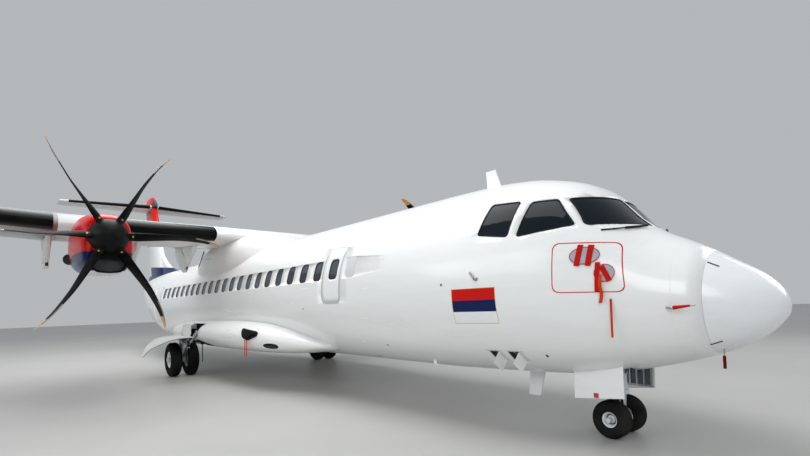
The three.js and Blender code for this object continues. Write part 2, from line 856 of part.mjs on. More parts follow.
function noseLeg() {
  const at = X(NOSE_GEAR.pivot);
  const top = NOSE_BAY.roof - SEAT;
  const rear = X(NOSE_BAY.to) + SEAT;
  return join(
    rod([at, 0, 560], [at, 0, top], 62),
    rod([at, -250, 1050], [at, 250, 1050], 38),
    rod([at, 0, 760], [rear, 0, 1010], 26, 8).intersect(
      box([rear, -200, 0], [at, 200, 2000]),
    ),
  );
}

// Torque links behind the nose leg, as corners of station and height
const TORQUE_LINKS = [
  [
    [1730, 556],
    [1860, 440],
    [1872, 400],
    [1830, 404],
    [1730, 480],
  ],
  [
    [1860, 446],
    [1872, 400],
    [1762, 250],
    [1730, 250],
    [1730, 310],
    [1830, 412],
  ],
];

function noseFork() {
  const at = X(NOSE_GEAR.pivot);
  const axle = X(NOSE_GEAR.station);
  const { radius, side, width } = NOSE_GEAR;
  const reach = side + width / 2 + 12;
  return join(
    rod([at, 0, 500], [at, 0, 560 - SEAT], 78),
    rod([at, 0, radius - 10], [at, 0, 520], 40),
    box([axle - 30, -45, radius - 42], [at + 42, 45, radius + 42]),
    rod([axle, -reach, radius], [axle, reach, radius], NOSE_GEAR.axle, FACETS),
    box([at + 30, -30, radius - 30], [at + 95, 30, radius + 30]),
    ...TORQUE_LINKS.map((link) => plate(link, -25, 25)),
  );
}

const NOSE_DOOR = { from: 1480, to: 2090, side: 420, thick: 18, bottom: 500 };

function noseDoor() {
  const { from, to, side, thick, bottom } = NOSE_DOOR;
  const corners = [
    [from, 1000],
    [from, bottom + 40],
    [from + 60, bottom],
    [to - 60, bottom],
    [to, bottom + 40],
    [to, 1000],
  ];
  return cut(plate(corners, side, side + thick), wholeBody);
}

// Main leg: axle between two wheels, post, and beam to the fuselage
function mainLeg() {
  const { station, side, spread, radius, width, axle } = MAIN_GEAR;
  const at = X(station);
  const reach = spread + width / 2 + 14;
  const whole = join(
    rod([at, side - reach, radius], [at, side + reach, radius], axle, FACETS),
    rod([at, side, radius], [at, side, BEAM.top - 10], 56),
    box([at - BEAM.width / 2, 900, BEAM.bottom], [at + BEAM.width / 2, side + 70, BEAM.top]),
  );
  return cut(whole, wholeBody);
}

// Fairing door that hangs over the wheels: distance out and height of its underside
const MAIN_DOOR = { from: 11870, to: 13130, thick: 26 };
const MAIN_DOOR_LINE = [
  [1960, BEAM.top + SEAT],
  [2130, BEAM.top + SEAT],
  [2360, 970],
  [2600, 905],
  [2880, 780],
  [3060, 600],
];

function mainDoor() {
  const { from, to, thick } = MAIN_DOOR;
  const ring = (station) => {
    const under = MAIN_DOOR_LINE.map(([y, z]) => new THREE.Vector3(X(station), y, z));
    const over = MAIN_DOOR_LINE.map(([y, z]) => new THREE.Vector3(X(station), y + 8, z + thick));
    return [...under, ...over.reverse()];
  };
  return solid(skin([ring(from), ring(to)]));
}

// Panels let into the fuselage side. The columns are the stations and heights of the edges, the
// side (1 is port and -1 starboard), the thickness, the gap around the panel and the room behind
// it, which a door that swings needs for its inner edge.
const DOOR_COLUMNS = ['from', 'to', 'bottom', 'top', 'side', 'thick', 'gap', 'behind'];
const DOOR_ROWS = {
  passenger_door: [17640, 18460, 1150, 2900, 1, 70, CLEAR, 26],
  cargo_door: [3560, 4835, 1150, 2680, 1, 70, CLEAR, 26],
  service_door: [17740, 18350, 1320, 2540, -1, 60, SEAT, SEAT],
  exit_left: [5785, 6295, 1750, 2660, 1, 50, SEAT, SEAT],
  exit_right: [5785, 6295, 1750, 2660, -1, 50, SEAT, SEAT],
};
const DOORS = Object.fromEntries(
  Object.entries(DOOR_ROWS).map(([name, row]) => [
    name,
    Object.fromEntries(DOOR_COLUMNS.map((column, k) => [column, row[k]])),
  ]),
);
const CORNER = 90;

// Prism through the fuselage side with rounded corners
function doorPrism({ from, to, bottom, top, side }, grow) {
  const outline = new THREE.Shape();
  const [left, right] = [X(to) - grow, X(from) + grow];
  const [low, high] = [bottom - grow, top + grow];
  const r = CORNER + grow;
  outline.moveTo(left + r, low);
  outline.lineTo(right - r, low);
  outline.absarc(right - r, low + r, r, -Math.PI / 2, 0);
  outline.absarc(right - r, high - r, r, 0, Math.PI / 2);
  outline.absarc(left + r, high - r, r, Math.PI / 2, Math.PI);
  outline.absarc(left + r, low + r, r, Math.PI, 1.5 * Math.PI);
  const settings = { depth: 1200, bevelEnabled: false, curveSegments: 4 };
  const geometry = new THREE.ExtrudeGeometry(outline, settings);
  geometry.rotateX(Math.PI / 2);
  geometry.translate(0, side > 0 ? 1800 : -600, 0);
  return solid(geometry);
}

const bodyCore = new Map();
function coreOf(inset) {
  if (!bodyCore.has(inset)) bodyCore.set(inset, bodySolid(SEAM, TAIL_SEAM, -inset));
  return bodyCore.get(inset);
}

const panelOf = (door, grow, depth) =>
  doorPrism(door, grow).intersect(bodySolid(SEAM, TAIL_SEAM)).subtract(coreOf(depth));

// Hinge line of a door just outside the skin, with a leaf on the door and a bracket on the fuselage.
// Their corners are distances from the hinge line, outwards and upwards.
const HINGES = {
  passenger_door: {
    y: 1232,
    z: 1128,
    at: [17800, 18300],
    leaf: [[-17, 0], [-18, 30], [-42, 40], [-32, 76], [23, 76], [17, 0]],
    bracket: [[-17, 0], [17, 0], [17, -18], [-52, -68], [-140, -68], [-120, -30], [-42, -20]],
  },
  cargo_door: {
    y: 1240,
    z: 2706,
    at: [3760, 4635],
    leaf: [[-17, 0], [17, 0], [28, -76], [-36, -76], [-46, -44], [-18, -30]],
    bracket: [[-17, 0], [-40, 14], [-110, 24], [-150, 74], [-60, 74], [10, 24], [17, 0]],
  },
};
const HINGE_BARREL = { radius: 17, long: 60 };

// Outline across the X axis, as distances from a point, made as long as the barrel
function hingeHalf({ y, z, at }, corners, start) {
  const { radius, long } = HINGE_BARREL;
  return join(
    ...at.flatMap((station) => {
      const from = X(station) + start;
      const ring = (x) => corners.map(([out, up]) => new THREE.Vector3(x, y + out, z + up));
      return [
        solid(skin([ring(from), ring(from + long)])),
        rod([from, y, z], [from + long, y, z], radius, 12),
      ];
    }),
  );
}

const hingeLeaf = (hinge) => hingeHalf(hinge, hinge.leaf, -HINGE_BARREL.long - SEAT);
const hingeBracket = (hinge) => hingeHalf(hinge, hinge.bracket, 0);

// Cockpit panes: corners as station and height for the side panes, in order around the pane
const PANE_THICK = 22;
const SIDE_PANES = {
  front_side_pane: [
    [1692, 2466],
    [1942, 2807],
    [2246, 2816],
    [2323, 2392],
  ],
  rear_side_pane: [
    [2431, 2404],
    [2389, 2847],
    [2793, 2871],
    [2853, 2466],
  ],
};
// Windshield corners as distance from the centreline and height, seen from ahead
const WINDSHIELD = [
  [50, 2465],
  [50, 2838],
  [800, 2803],
  [895, 2455],
];

function sidePrism(corners, side, grow) {
  const middle = corners.reduce((sum, p) => [sum[0] + p[0] / 4, sum[1] + p[1] / 4], [0, 0]);
  const moved = corners.map(([station, z]) => [
    station + Math.sign(station - middle[0]) * grow,
    z + Math.sign(z - middle[1]) * grow,
  ]);
  return side > 0 ? plate(moved, 500, 1700) : plate(moved, -1700, -500);
}

function frontPrism(corners, grow) {
  const middle = corners.reduce((sum, p) => [sum[0] + p[0] / 4, sum[1] + p[1] / 4], [0, 0]);
  const ring = (station) =>
    corners.map(
      ([y, z]) =>
        new THREE.Vector3(
          X(station),
          y + Math.sign(y - middle[0]) * grow,
          z + Math.sign(z - middle[1]) * grow,
        ),
    );
  return solid(skin([ring(900), ring(2300)]));
}

// Assembly
const aircraft = new THREE.Group();
aircraft.name = 'turboprop_airliner';

const PAINT = { roughness: 0.3, metalness: 0.0 };
const FINISHES = {
  white: { color: 0xf2f2ee, ...PAINT },
  radome: { color: 0xeceae4, ...PAINT },
  grey: { color: 0xb9bcc0, ...PAINT },
  red: { color: 0xb5202a, ...PAINT },
  black: { color: 0x1c1d1f, roughness: 0.45, metalness: 0.0 },
  metal: { color: 0xa9acaf, roughness: 0.4, metalness: 0.8 },
  gear: { color: 0xc4c7c9, roughness: 0.4, metalness: 0.2 },
  tyre: { color: 0x1b1b1c, roughness: 0.85, metalness: 0.0 },
  glass: { color: 0x10161c, roughness: 0.08, metalness: 0.0 },
};

function add(name, body, finish) {
  const material = new THREE.MeshStandardMaterial(FINISHES[finish]);
  const mesh = new THREE.Mesh(geometryOf(body), material);
  mesh.name = name;
  aircraft.add(mesh);
}

function addPair(name, body, finish) {
  add(`${name}_left`, body, finish);
  add(`${name}_right`, mirrored(body), finish);
}

// Glass first, because the fuselage is cut from the same outlines
const glassTools = [];
const shell = bodySolid(SEAM, TAIL_SEAM);
const paneShell = shell.subtract(coreOf(PANE_THICK));
for (const [name, corners] of Object.entries(SIDE_PANES)) {
  addPair(name, sidePrism(corners, 1, 0).intersect(paneShell), 'glass');
  const room = sidePrism(corners, 1, SEAT).intersect(bodySolid(SEAM, TAIL_SEAM, 5));
  glassTools.push(room.subtract(coreOf(PANE_THICK + SEAT)));
}
const POST = 35;
const besideWindshield = (gap) => sidePrism(SIDE_PANES.front_side_pane, 1, POST - gap);
const windshield = frontPrism(WINDSHIELD, 0).intersect(paneShell);
addPair('windshield', windshield.subtract(besideWindshield(0)), 'glass');
glassTools.push(
  frontPrism(WINDSHIELD, SEAT)
    .intersect(bodySolid(SEAM, TAIL_SEAM, 5))
    .subtract(coreOf(PANE_THICK + SEAT))
    .subtract(besideWindshield(SEAT)),
);

// Round flat pads under the belly where the jacks go
const JACK_PADS = [
  [3300, 0],
  [10900, 620],
  [10900, -620],
];
const JACK_PAD = { radius: 45, height: 660, top: 760 };

function jackPads() {
  const { radius, height, top } = JACK_PAD;
  return JACK_PADS.map(([station, y]) => rod([X(station), y, top], [X(station), y, height], radius));
}

// Blade antennas: station and height of the corners, from the front of the foot round to its back
const ANTENNAS = [
  [
    [3350, 3250],
    [3480, 3560],
    [3560, 3670],
    [3700, 3670],
    [3740, 3250],
  ],
  [
    [2750, 780],
    [2850, 480],
    [2960, 330],
    [3050, 330],
    [3080, 780],
  ],
];
const ANTENNA_THICK = 26;

function fuselage() {
  const skinGrown = bodySolid(SEAM, TAIL_SEAM, 5);
  const doorRooms = Object.values(DOORS).map((door) =>
    doorPrism(door, door.gap).intersect(skinGrown).subtract(coreOf(door.thick + door.behind)),
  );
  const bay = box(
    [X(NOSE_BAY.to), -NOSE_BAY.side, 0],
    [X(NOSE_BAY.from), NOSE_BAY.side, NOSE_BAY.roof],
  );
  const open = cut(shell, bay, ...doorRooms, ...glassTools, ...glassTools.map(mirrored));
  const antennas = ANTENNAS.map((corners) => plate(corners, -ANTENNA_THICK / 2, ANTENNA_THICK / 2));
  return join(largest(open), ...Object.values(HINGES).map(hingeBracket), ...jackPads(), ...antennas);
}

add('fuselage', fuselage(), 'white');
add('radome', bodySolid(0, SEAM - SEAT), 'radome');
add('tail_cone', bodySolid(TAIL_SEAM + SEAT, BODY.at(-1)[0]), 'white');
for (const [name, door] of Object.entries(DOORS)) {
  const leaf = name in HINGES ? [hingeLeaf(HINGES[name])] : [];
  add(name, join(panelOf(door, 0, door.thick), ...leaf), 'white');
}

add('wing_fairing', wingFairing(), 'white');
addPair('gear_fairing', gearFairing(), 'white');
add('wing_center', wingCenter(), 'grey');
addPair('wing', outerWing(), 'grey');
addPair('flap_inboard', flapSolid('inboard'), 'grey');
addPair('flap_outboard', flapSolid('outboard'), 'grey');
addPair('aileron', control(wing, AILERON), 'grey');

addPair('nacelle', nacelle(), 'red');
addPair('exhaust', exhaust(), 'metal');
addPair('engine', engineSolid(), 'metal');
const propellerLeft = propeller();
add('propeller_left', propellerLeft, 'black');
add('propeller_right', mirrored(propellerLeft), 'black');

add('fin', finSolid(), 'red');
add('fin_cap', finCap(), 'white');
add('rudder', control(fin, RUDDER), 'red');
add('stabiliser', stabiliserSolid(), 'white');
addPair('elevator', control(stabiliser, ELEVATOR), 'white');

add('nose_leg', noseLeg(), 'gear');
add('nose_fork', noseFork(), 'gear');
const [noseRim, noseTyre] = wheel(NOSE_GEAR, NOSE_GEAR.side);
addPair('nose_rim', noseRim, 'gear');
addPair('nose_tyre', noseTyre, 'tyre');
addPair('nose_gear_door', noseDoor(), 'white');
addPair('main_leg', mainLeg(), 'gear');
for (const [place, sign] of [['inner', -1], ['outer', 1]]) {
  const [wheelRim, wheelTyre] = wheel(MAIN_GEAR, MAIN_GEAR.side + sign * MAIN_GEAR.spread);
  addPair(`main_rim_${place}`, wheelRim, 'gear');
  addPair(`main_tyre_${place}`, wheelTyre, 'tyre');
}
addPair('main_gear_door', mainDoor(), 'white');

export default aircraft;
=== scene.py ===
# %% [markdown]
# # Dressing a turboprop airliner
# The construction model gives every piece its place. This file gives each one the surface that
# the eye meets: smooth skins, glass, rubber, paint, and the small things that a solid leaves out.
# All lengths are metres in the construction model's frame: +X to the nose, +Y to port, +Z up.

# %% Load the construction model
import math

import bmesh
import bpy
from mathutils import Matrix, Vector
from mathutils.bvhtree import BVHTree
from mathutils.interpolate import poly_3d_calc


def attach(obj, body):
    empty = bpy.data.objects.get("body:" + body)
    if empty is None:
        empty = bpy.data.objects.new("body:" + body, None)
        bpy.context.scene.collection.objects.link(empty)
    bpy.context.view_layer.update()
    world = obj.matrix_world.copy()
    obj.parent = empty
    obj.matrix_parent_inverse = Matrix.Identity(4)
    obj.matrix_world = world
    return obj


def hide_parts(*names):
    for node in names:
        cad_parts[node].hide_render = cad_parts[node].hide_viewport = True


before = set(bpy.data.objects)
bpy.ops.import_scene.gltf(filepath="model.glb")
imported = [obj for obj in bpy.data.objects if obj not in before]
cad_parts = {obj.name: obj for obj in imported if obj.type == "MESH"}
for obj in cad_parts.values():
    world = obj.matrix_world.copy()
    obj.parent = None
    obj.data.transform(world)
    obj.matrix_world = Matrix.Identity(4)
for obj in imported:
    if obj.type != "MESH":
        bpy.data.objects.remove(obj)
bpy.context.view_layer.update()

# %% [markdown]
# ## Camera, floor and light
# The photograph was taken with a wide phone lens from beside the nose, at eye height. The picture
# was cropped, which a lens shift repeats. The floor is a plain pale plane. Large soft panels stand
# in for the bright hangar: gloss paint shows its shape only where it has something to reflect.

# %% Camera
LENGTH = 27.166
IMAGE_WIDTH = 810
LENS_PIXELS = 461.766
EYE = Vector((LENGTH / 2 + 0.892, -5.482, 1.650))
HEADING, PITCH, ROLL = (math.radians(angle) for angle in (136.723, 2.541, -1.787))
SHIFT = (-31.29 / IMAGE_WIDTH, 55.45 / IMAGE_WIDTH)

flat = math.cos(PITCH)
forward = Vector((flat * math.cos(HEADING), flat * math.sin(HEADING), math.sin(PITCH)))
level = Vector((math.sin(HEADING), -math.cos(HEADING), 0))
upright = level.cross(forward)
right = level * math.cos(ROLL) + upright * math.sin(ROLL)
up = upright * math.cos(ROLL) - level * math.sin(ROLL)

camera_data = bpy.data.cameras.new("camera")
camera_data.sensor_width = 36
camera_data.lens = LENS_PIXELS / IMAGE_WIDTH * camera_data.sensor_width
camera_data.shift_x, camera_data.shift_y = SHIFT
camera_data.clip_end = 300
camera = bpy.data.objects.new("camera", camera_data)
turned = Matrix((right, up, -forward)).transposed()
camera.matrix_world = Matrix.Translation(EYE) @ turned.to_4x4()
bpy.context.scene.collection.objects.link(camera)
bpy.context.scene.camera = camera
print("lens", round(camera_data.lens, 2), "mm")


# %% One function adds a node, and one turns a hex colour to linear
def feed(tree, node, inputs):
    """Sets a node's inputs. Each is a value, or another node's output to link from."""
    for key, value in inputs.items():
        if isinstance(value, bpy.types.NodeSocket):
            tree.links.new(value, node.inputs[key])
        else:
            node.inputs[key].default_value = value


def add(tree, kind, inputs=None, **settings):
    """Adds a shader node with its settings and inputs."""
    made = tree.nodes.new(kind)
    for name, value in settings.items():
        setattr(made, name, value)
    feed(tree, made, inputs or {})
    return made


def colour(hex_value):
    """sRGB hex text such as "f2f2ee" to linear red, green, blue and full alpha."""
    parts = [int(hex_value[i : i + 2], 16) / 255 for i in (0, 2, 4)]
    linear = [p / 12.92 if p <= 0.04045 else ((p + 0.055) / 1.055) ** 2.4 for p in parts]
    return (*linear, 1.0)


def per_metre(size_mm):
    """Scale of a pattern from the width of its widest blotch, in millimetres."""
    return 1000 / size_mm


def new_material(name):
    """Empty material, its node tree, its surface shader, and the object's own coordinates."""
    material = bpy.data.materials.new(name)
    material.use_nodes = True
    tree = material.node_tree
    tree.nodes.clear()
    shader = add(tree, "ShaderNodeBsdfPrincipled")
    add(tree, "ShaderNodeOutputMaterial", {"Surface": shader.outputs[0]})
    place = add(tree, "ShaderNodeTexCoord").outputs["Object"]
    return material, tree, shader, place


def clouded_material(name, tones, pattern, surface):
    """Surface that drifts between two hex colours over a noise pattern."""
    material, tree, shader, place = new_material(name)
    cloud = add(tree, "ShaderNodeTexNoise", {"Vector": place, **pattern})
    tint = add(tree, "ShaderNodeValToRGB", {"Fac": cloud.outputs["Fac"]})
    for stop, hex_value in zip(tint.color_ramp.elements, tones):
        stop.color = colour(hex_value)
    feed(tree, shader, {"Base Color": tint.outputs[0], **surface})
    return material


print("half grey in linear light", round(colour("808080")[0], 3))

# %% Floor, soft panels and sky
# Sealed concrete: pale, half matt, and a little cloudy, with clouds of a given width
floor_material = clouded_material(
    "pale_floor", ("aaaaa8", "bfbebb"),
    {"Scale": per_metre(2857), "Detail": 6.0, "Roughness": 0.6}, {"Roughness": 0.42},
)
FLOOR_SIZE = 160
half = FLOOR_SIZE / 2
floor_mesh = bpy.data.meshes.new("floor")
floor_corners = [(-half, -half, 0), (half, -half, 0), (half, half, 0), (-half, half, 0)]
floor_mesh.from_pydata(floor_corners, [], [(0, 1, 2, 3)])
floor_mesh.materials.append(floor_material)
floor = bpy.data.objects.new("floor", floor_mesh)
bpy.context.scene.collection.objects.link(floor)

world = bpy.data.worlds.new("sky")
world.use_nodes = True
feed(world.node_tree, world.node_tree.nodes["Background"], {"Color": colour("dfe3e6"), "Strength": 0.62})
bpy.context.scene.world = world
bpy.context.scene.view_settings.view_transform = "Standard"

# Soft panels: place, what it faces, width, height, watts
PANELS = [
    ((6.0, -3.0, 13.0), (6.0, 0.0, 1.0), 14, 7, 1260),
    ((-8.0, -2.0, 14.0), (-8.0, 0.0, 2.0), 14, 8, 1300),
    ((21.0, -11.0, 7.0), (11.0, 0.0, 2.0), 7, 6, 500),
    ((2.0, -19.0, 7.5), (2.0, 0.0, 2.0), 20, 6, 820),
    ((18.0, 12.0, 8.0), (9.0, 0.0, 2.0), 9, 6, 500),
]
for number, (spot, target, width, height, watts) in enumerate(PANELS):
    lamp = bpy.data.lights.new(f"panel_{number}", "AREA")
    lamp.shape = "RECTANGLE"
    lamp.size, lamp.size_y, lamp.energy = width, height, watts
    lamp_object = bpy.data.objects.new(f"panel_{number}", lamp)
    lamp_object.location = spot
    direction = Vector(target) - Vector(spot)
    lamp_object.rotation_euler = direction.to_track_quat("-Z", "Y").to_euler()
    bpy.context.scene.collection.objects.link(lamp_object)
print("soft panels", len(PANELS))

# %% [markdown]
# ## Finishes
# Aircraft paint is a polyurethane gloss coat over primer and aluminium sheet. It is smooth, but
# the sheet under it is not quite flat: it dips a little between the frames and at each lap joint,
# and the reflections wave there. That slow wave, and faint joint lines at the real frame pitch,
# make the white read as metal skin and not as plastic.


# %% Polyurethane gloss on aluminium skin
FRAME_PITCH = 0.531
# Widths of the skin's waves and of the streaks of dust
WAVE_MM, STREAK_MM = 588.2, 714.3


def gloss_paint(name, hex_value, roughness=0.22, joint_depth=0.0, grime=0.08, wave=0.0025, shine=0.5):
    """Sprayed gloss paint: a clear coat over colour, gentle waves, streaks of dust and faint joints."""
    material, tree, shader, place = new_material(name)
    waves = {"Vector": place, "Scale": per_metre(WAVE_MM), "Detail": 2.0, "Roughness": 0.4}
    slow = add(tree, "ShaderNodeTexNoise", waves).outputs["Fac"]
    run = add(tree, "ShaderNodeMapping", {"Vector": place, "Scale": (0.6, 2.0, 5.0)}).outputs[0]
    dirt = {"Vector": run, "Scale": per_metre(STREAK_MM), "Detail": 7.0, "Roughness": 0.62}
    streaks = add(tree, "ShaderNodeTexNoise", dirt).outputs["Fac"]
    limits = {"Value": streaks, "From Min": 0.45, "From Max": 0.8, "To Max": grime}
    amount = add(tree, "ShaderNodeMapRange", limits).outputs[0]
    tones = {0: amount, "A": colour(hex_value), "B": colour("8c8a84")}
    mixed = add(tree, "ShaderNodeMix", tones, data_type="RGBA")
    limits = {"Value": streaks, "To Min": roughness * 0.8, "To Max": roughness * 1.5}
    gloss = add(tree, "ShaderNodeMapRange", limits)
    bump = add(tree, "ShaderNodeBump", {"Height": slow, "Distance": wave, "Strength": 0.6})
    if joint_depth > 0:
        axes = add(tree, "ShaderNodeSeparateXYZ", {"Vector": place})
        pitch = {0: axes.outputs["X"], 1: FRAME_PITCH * 2}
        fold = add(tree, "ShaderNodeMath", pitch, operation="PINGPONG").outputs[0]
        line = add(tree, "ShaderNodeMapRange", {"Value": fold, "From Max": 0.006}).outputs[0]
        groove = {"Height": line, "Distance": joint_depth, "Normal": bump.outputs[0]}
        bump = add(tree, "ShaderNodeBump", groove)
    surface = {
        "Base Color": mixed.outputs["Result"],
        "Roughness": gloss.outputs[0],
        "Normal": bump.outputs[0],
        "Specular IOR Level": shine,
        "Coat Weight": max(0.0, shine - 0.25) * 1.4,
        "Coat Roughness": 0.06,
    }
    feed(tree, shader, surface)
    return material


WHITE, RED, BLUE = "eceeee", "c8140e", "0a1c50"
body_white = gloss_paint("polyurethane_white", WHITE, joint_depth=0.0012)
radome_white = gloss_paint("radome_white", "ebeef0", roughness=0.24, wave=0.001)
fairing_white = gloss_paint("composite_fairing_white", "e9ebea", roughness=0.26, wave=0.003)
wing_grey = gloss_paint("wing_grey_enamel", "b4b7ba", roughness=0.34, grime=0.16)
red_gloss = gloss_paint("signal_red_gloss", RED, roughness=0.2, grime=0.02, shine=0.15)
blue_gloss = gloss_paint("deep_blue_gloss", BLUE, roughness=0.2, grime=0.02, shine=0.15)
leg_grey = gloss_paint("landing_gear_enamel", "cfd4d8", roughness=0.36, grime=0.2, wave=0.0004)
rim_white = gloss_paint("wheel_enamel", "e9edf0", roughness=0.34, grime=0.15, wave=0.0004)
outline_red = gloss_paint("marking_red", "b9252c", roughness=0.35, grime=0.02)
flag_gold = gloss_paint("marking_gold", "c79a3a", roughness=0.35, grime=0.02)
# Dark grey for small dark parts such as the drain mast, ports and earthing rod, and also laid as painted
# shade in recesses, rim hollows and the intake's throat
dark_grey_and_painted_shade = gloss_paint("dark_grey_parts_and_painted_shade", "3a3c3f", roughness=0.6, grime=0.05)
print("paints", body_white.name, "to", dark_grey_and_painted_shade.name)


# %% Paint in bands
def banded_paint(name, stops, axis="Z", slope=0.0, blend=0.002):
    """Gloss paint in bands along an axis. Stops are pairs of height and hex colour, low to high.
    With a slope the edges rise as they run aft."""
    material = gloss_paint(name, stops[0][1], roughness=0.2, grime=0.02, shine=0.12)
    tree = material.node_tree
    shader = next(node for node in tree.nodes if node.type == "BSDF_PRINCIPLED")
    place = add(tree, "ShaderNodeTexCoord").outputs["Object"]
    axes = add(tree, "ShaderNodeSeparateXYZ", {"Vector": place}).outputs
    rise = add(tree, "ShaderNodeMath", {0: axes["X"], 1: slope}, operation="MULTIPLY").outputs[0]
    height = add(tree, "ShaderNodeMath", {0: axes[axis], 1: rise}, operation="ADD").outputs[0]
    last = colour(stops[0][1])
    for start, hex_value in stops[1:]:
        limits = {"Value": height, "From Min": start - blend, "From Max": start + blend}
        edge = add(tree, "ShaderNodeMapRange", limits).outputs[0]
        tones = {0: edge, "A": last, "B": colour(hex_value)}
        last = add(tree, "ShaderNodeMix", tones, data_type="RGBA").outputs["Result"]
    feed(tree, shader, {"Base Color": last})
    return material


# %% Rubber: de-icing boots and tyres
# Width of a smear of dust
SMEAR_MM = 333.3


def rubber(name, hex_value, roughness, grain_mm, dust):
    """Carbon-black rubber: dull, slightly mottled, dusty where it is worn."""
    material, tree, shader, place = new_material(name)
    # The widest blotch spans six grains
    grains = {"Vector": place, "Scale": per_metre(grain_mm * 6), "Detail": 5.0, "Roughness": 0.65}
    grain = add(tree, "ShaderNodeTexNoise", grains).outputs["Fac"]
    smears = {"Vector": place, "Scale": per_metre(SMEAR_MM), "Detail": 4.0, "Roughness": 0.6}
    smudge = add(tree, "ShaderNodeTexNoise", smears).outputs["Fac"]
    limits = {"Value": smudge, "From Min": 0.4, "From Max": 0.75, "To Max": dust}
    amount = add(tree, "ShaderNodeMapRange", limits).outputs[0]
    tones = {0: amount, "A": colour(hex_value), "B": colour("77736c")}
    mixed = add(tree, "ShaderNodeMix", tones, data_type="RGBA")
    limits = {"Value": smudge, "To Min": roughness * 0.85, "To Max": roughness * 1.25}
    gloss = add(tree, "ShaderNodeMapRange", limits)
    pits = {"Height": grain, "Distance": grain_mm / 1000 * 0.3, "Strength": 0.5}
    surface = {
        "Base Color": mixed.outputs["Result"],
        "Roughness": gloss.outputs[0],
        "Normal": add(tree, "ShaderNodeBump", pits).outputs[0],
        "Specular IOR Level": 0.08,
    }
    feed(tree, shader, surface)
    return material


boot_rubber = rubber("de_icing_neoprene", "08090a", 0.24, 4, 0.03)
tyre_rubber = rubber("tyre_rubber", "121213", 0.8, 6, 0.12)
cover_black = rubber("black_vinyl_cover", "0c0d0f", 0.45, 5, 0.04)
print("rubbers", boot_rubber.name, tyre_rubber.name, cover_black.name)


# %% Metals and cockpit glass
# A single scratch is too fine to show here. It is drawn inside a patch of a given width, and six
# halvings of that width end at about 0.3 mm.
SCRATCHED_MM = 16.667


def bare_metal(name, hex_value, roughness, grain=(1.0, 1.0, 1.0)):
    """Bare or brushed metal: full metallic, with fine scratches that stretch along one way."""
    material, tree, shader, place = new_material(name)
    way = add(tree, "ShaderNodeMapping", {"Vector": place, "Scale": grain}).outputs[0]
    scratches = {"Vector": way, "Scale": per_metre(SCRATCHED_MM), "Detail": 6.0, "Roughness": 0.7}
    scratch = add(tree, "ShaderNodeTexNoise", scratches).outputs["Fac"]
    tone = add(tree, "ShaderNodeValToRGB", {"Fac": scratch})
    base = colour(hex_value)
    tone.color_ramp.elements[0].color = (*[c * 0.72 for c in base[:3]], 1)
    tone.color_ramp.elements[1].color = base
    limits = {"Value": scratch, "To Min": roughness * 0.7, "To Max": roughness * 1.4}
    gloss = add(tree, "ShaderNodeMapRange", limits)
    bump = add(tree, "ShaderNodeBump", {"Height": scratch, "Distance": 0.0004, "Strength": 0.4})
    surface = {
        "Base Color": tone.outputs[0],
        "Metallic": 1.0,
        "Roughness": gloss.outputs[0],
        "Normal": bump.outputs[0],
    }
    feed(tree, shader, surface)
    return material


nickel_edge = bare_metal("nickel_erosion_strip", "a9a59c", 0.42, (1, 1, 1))
polished_steel = bare_metal("ground_steel_piston", "c8cbcf", 0.16, (1, 1, 8))
cast_alloy = bare_metal("cast_alloy", "b4b8bd", 0.42)
exhaust_steel = bare_metal("heat_tinted_steel", "3a322d", 0.6)

# Laminated cockpit glass: smooth in front, with a little depth of tone, and dark because its colour
# paints the shade of the unlit cockpit behind it
glass_dark = clouded_material(
    "cockpit_laminated_glass", ("0b0f13", "1a242c"),
    {"Scale": per_metre(434.8), "Detail": 3.0, "Roughness": 0.5},
    {"Roughness": 0.04, "Specular IOR Level": 0.12},
)
print("materials", len(bpy.data.materials))

# %% [markdown]
# ## Sections and lofts
# An aircraft's skin is a loft: sections drawn at stations along its length, with a smooth skin
# between them. The tables below are the construction model's own. Drawn again with many more
# sections and sides they give the same body with no facets, so the smooth piece fits inside the
# faceted one to a few millimetres.

# %% Tables of sections
# Body: station aft of the nose tip, half width, top, bottom, widest height, and the powers of the
# upper and lower half of the section, where 2 is an ellipse and more is squarer
BODY = [
    (0.000, 0.020, 1.550, 1.510, 1.530, 2.00, 2.00),
    (0.015, 0.085, 1.615, 1.455, 1.532, 2.00, 2.00),
    (0.050, 0.160, 1.690, 1.400, 1.538, 2.00, 2.00),
    (0.180, 0.300, 1.842, 1.262, 1.555, 2.00, 2.00),
    (0.400, 0.475, 1.990, 1.118, 1.580, 2.00, 2.00),
    (0.600, 0.590, 2.120, 1.040, 1.610, 2.00, 2.00),
    (0.850, 0.715, 2.262, 0.955, 1.640, 2.00, 2.05),
    (1.100, 0.830, 2.385, 0.888, 1.675, 2.10, 2.10),
    (1.300, 0.915, 2.530, 0.842, 1.700, 2.35, 2.10),
    (1.600, 1.030, 2.850, 0.783, 1.745, 2.60, 2.15),
    (1.850, 1.115, 3.050, 0.745, 1.780, 2.55, 2.15),
    (2.200, 1.220, 3.180, 0.715, 1.820, 2.35, 2.20),
    (2.700, 1.330, 3.295, 0.695, 1.870, 2.10, 2.20),
    (3.300, 1.405, 3.345, 0.680, 1.905, 2.00, 2.25),
    (4.200, 1.4325, 3.3545, 0.665, 1.922, 2.00, 2.30),
    (18.50, 1.4325, 3.3545, 0.665, 1.922, 2.00, 2.30),
    (19.50, 1.400, 3.354, 0.850, 1.990, 2.00, 2.20),
    (20.60, 1.280, 3.350, 1.215, 2.150, 2.00, 2.10),
    (22.00, 1.050, 3.335, 1.670, 2.380, 2.00, 2.00),
    (23.50, 0.775, 3.290, 2.140, 2.630, 2.00, 2.00),
    (25.00, 0.455, 3.205, 2.570, 2.840, 2.00, 2.00),
    (26.00, 0.210, 3.105, 2.835, 2.960, 2.00, 2.00),
    (26.35, 0.090, 3.045, 2.925, 2.985, 2.00, 2.00),
]
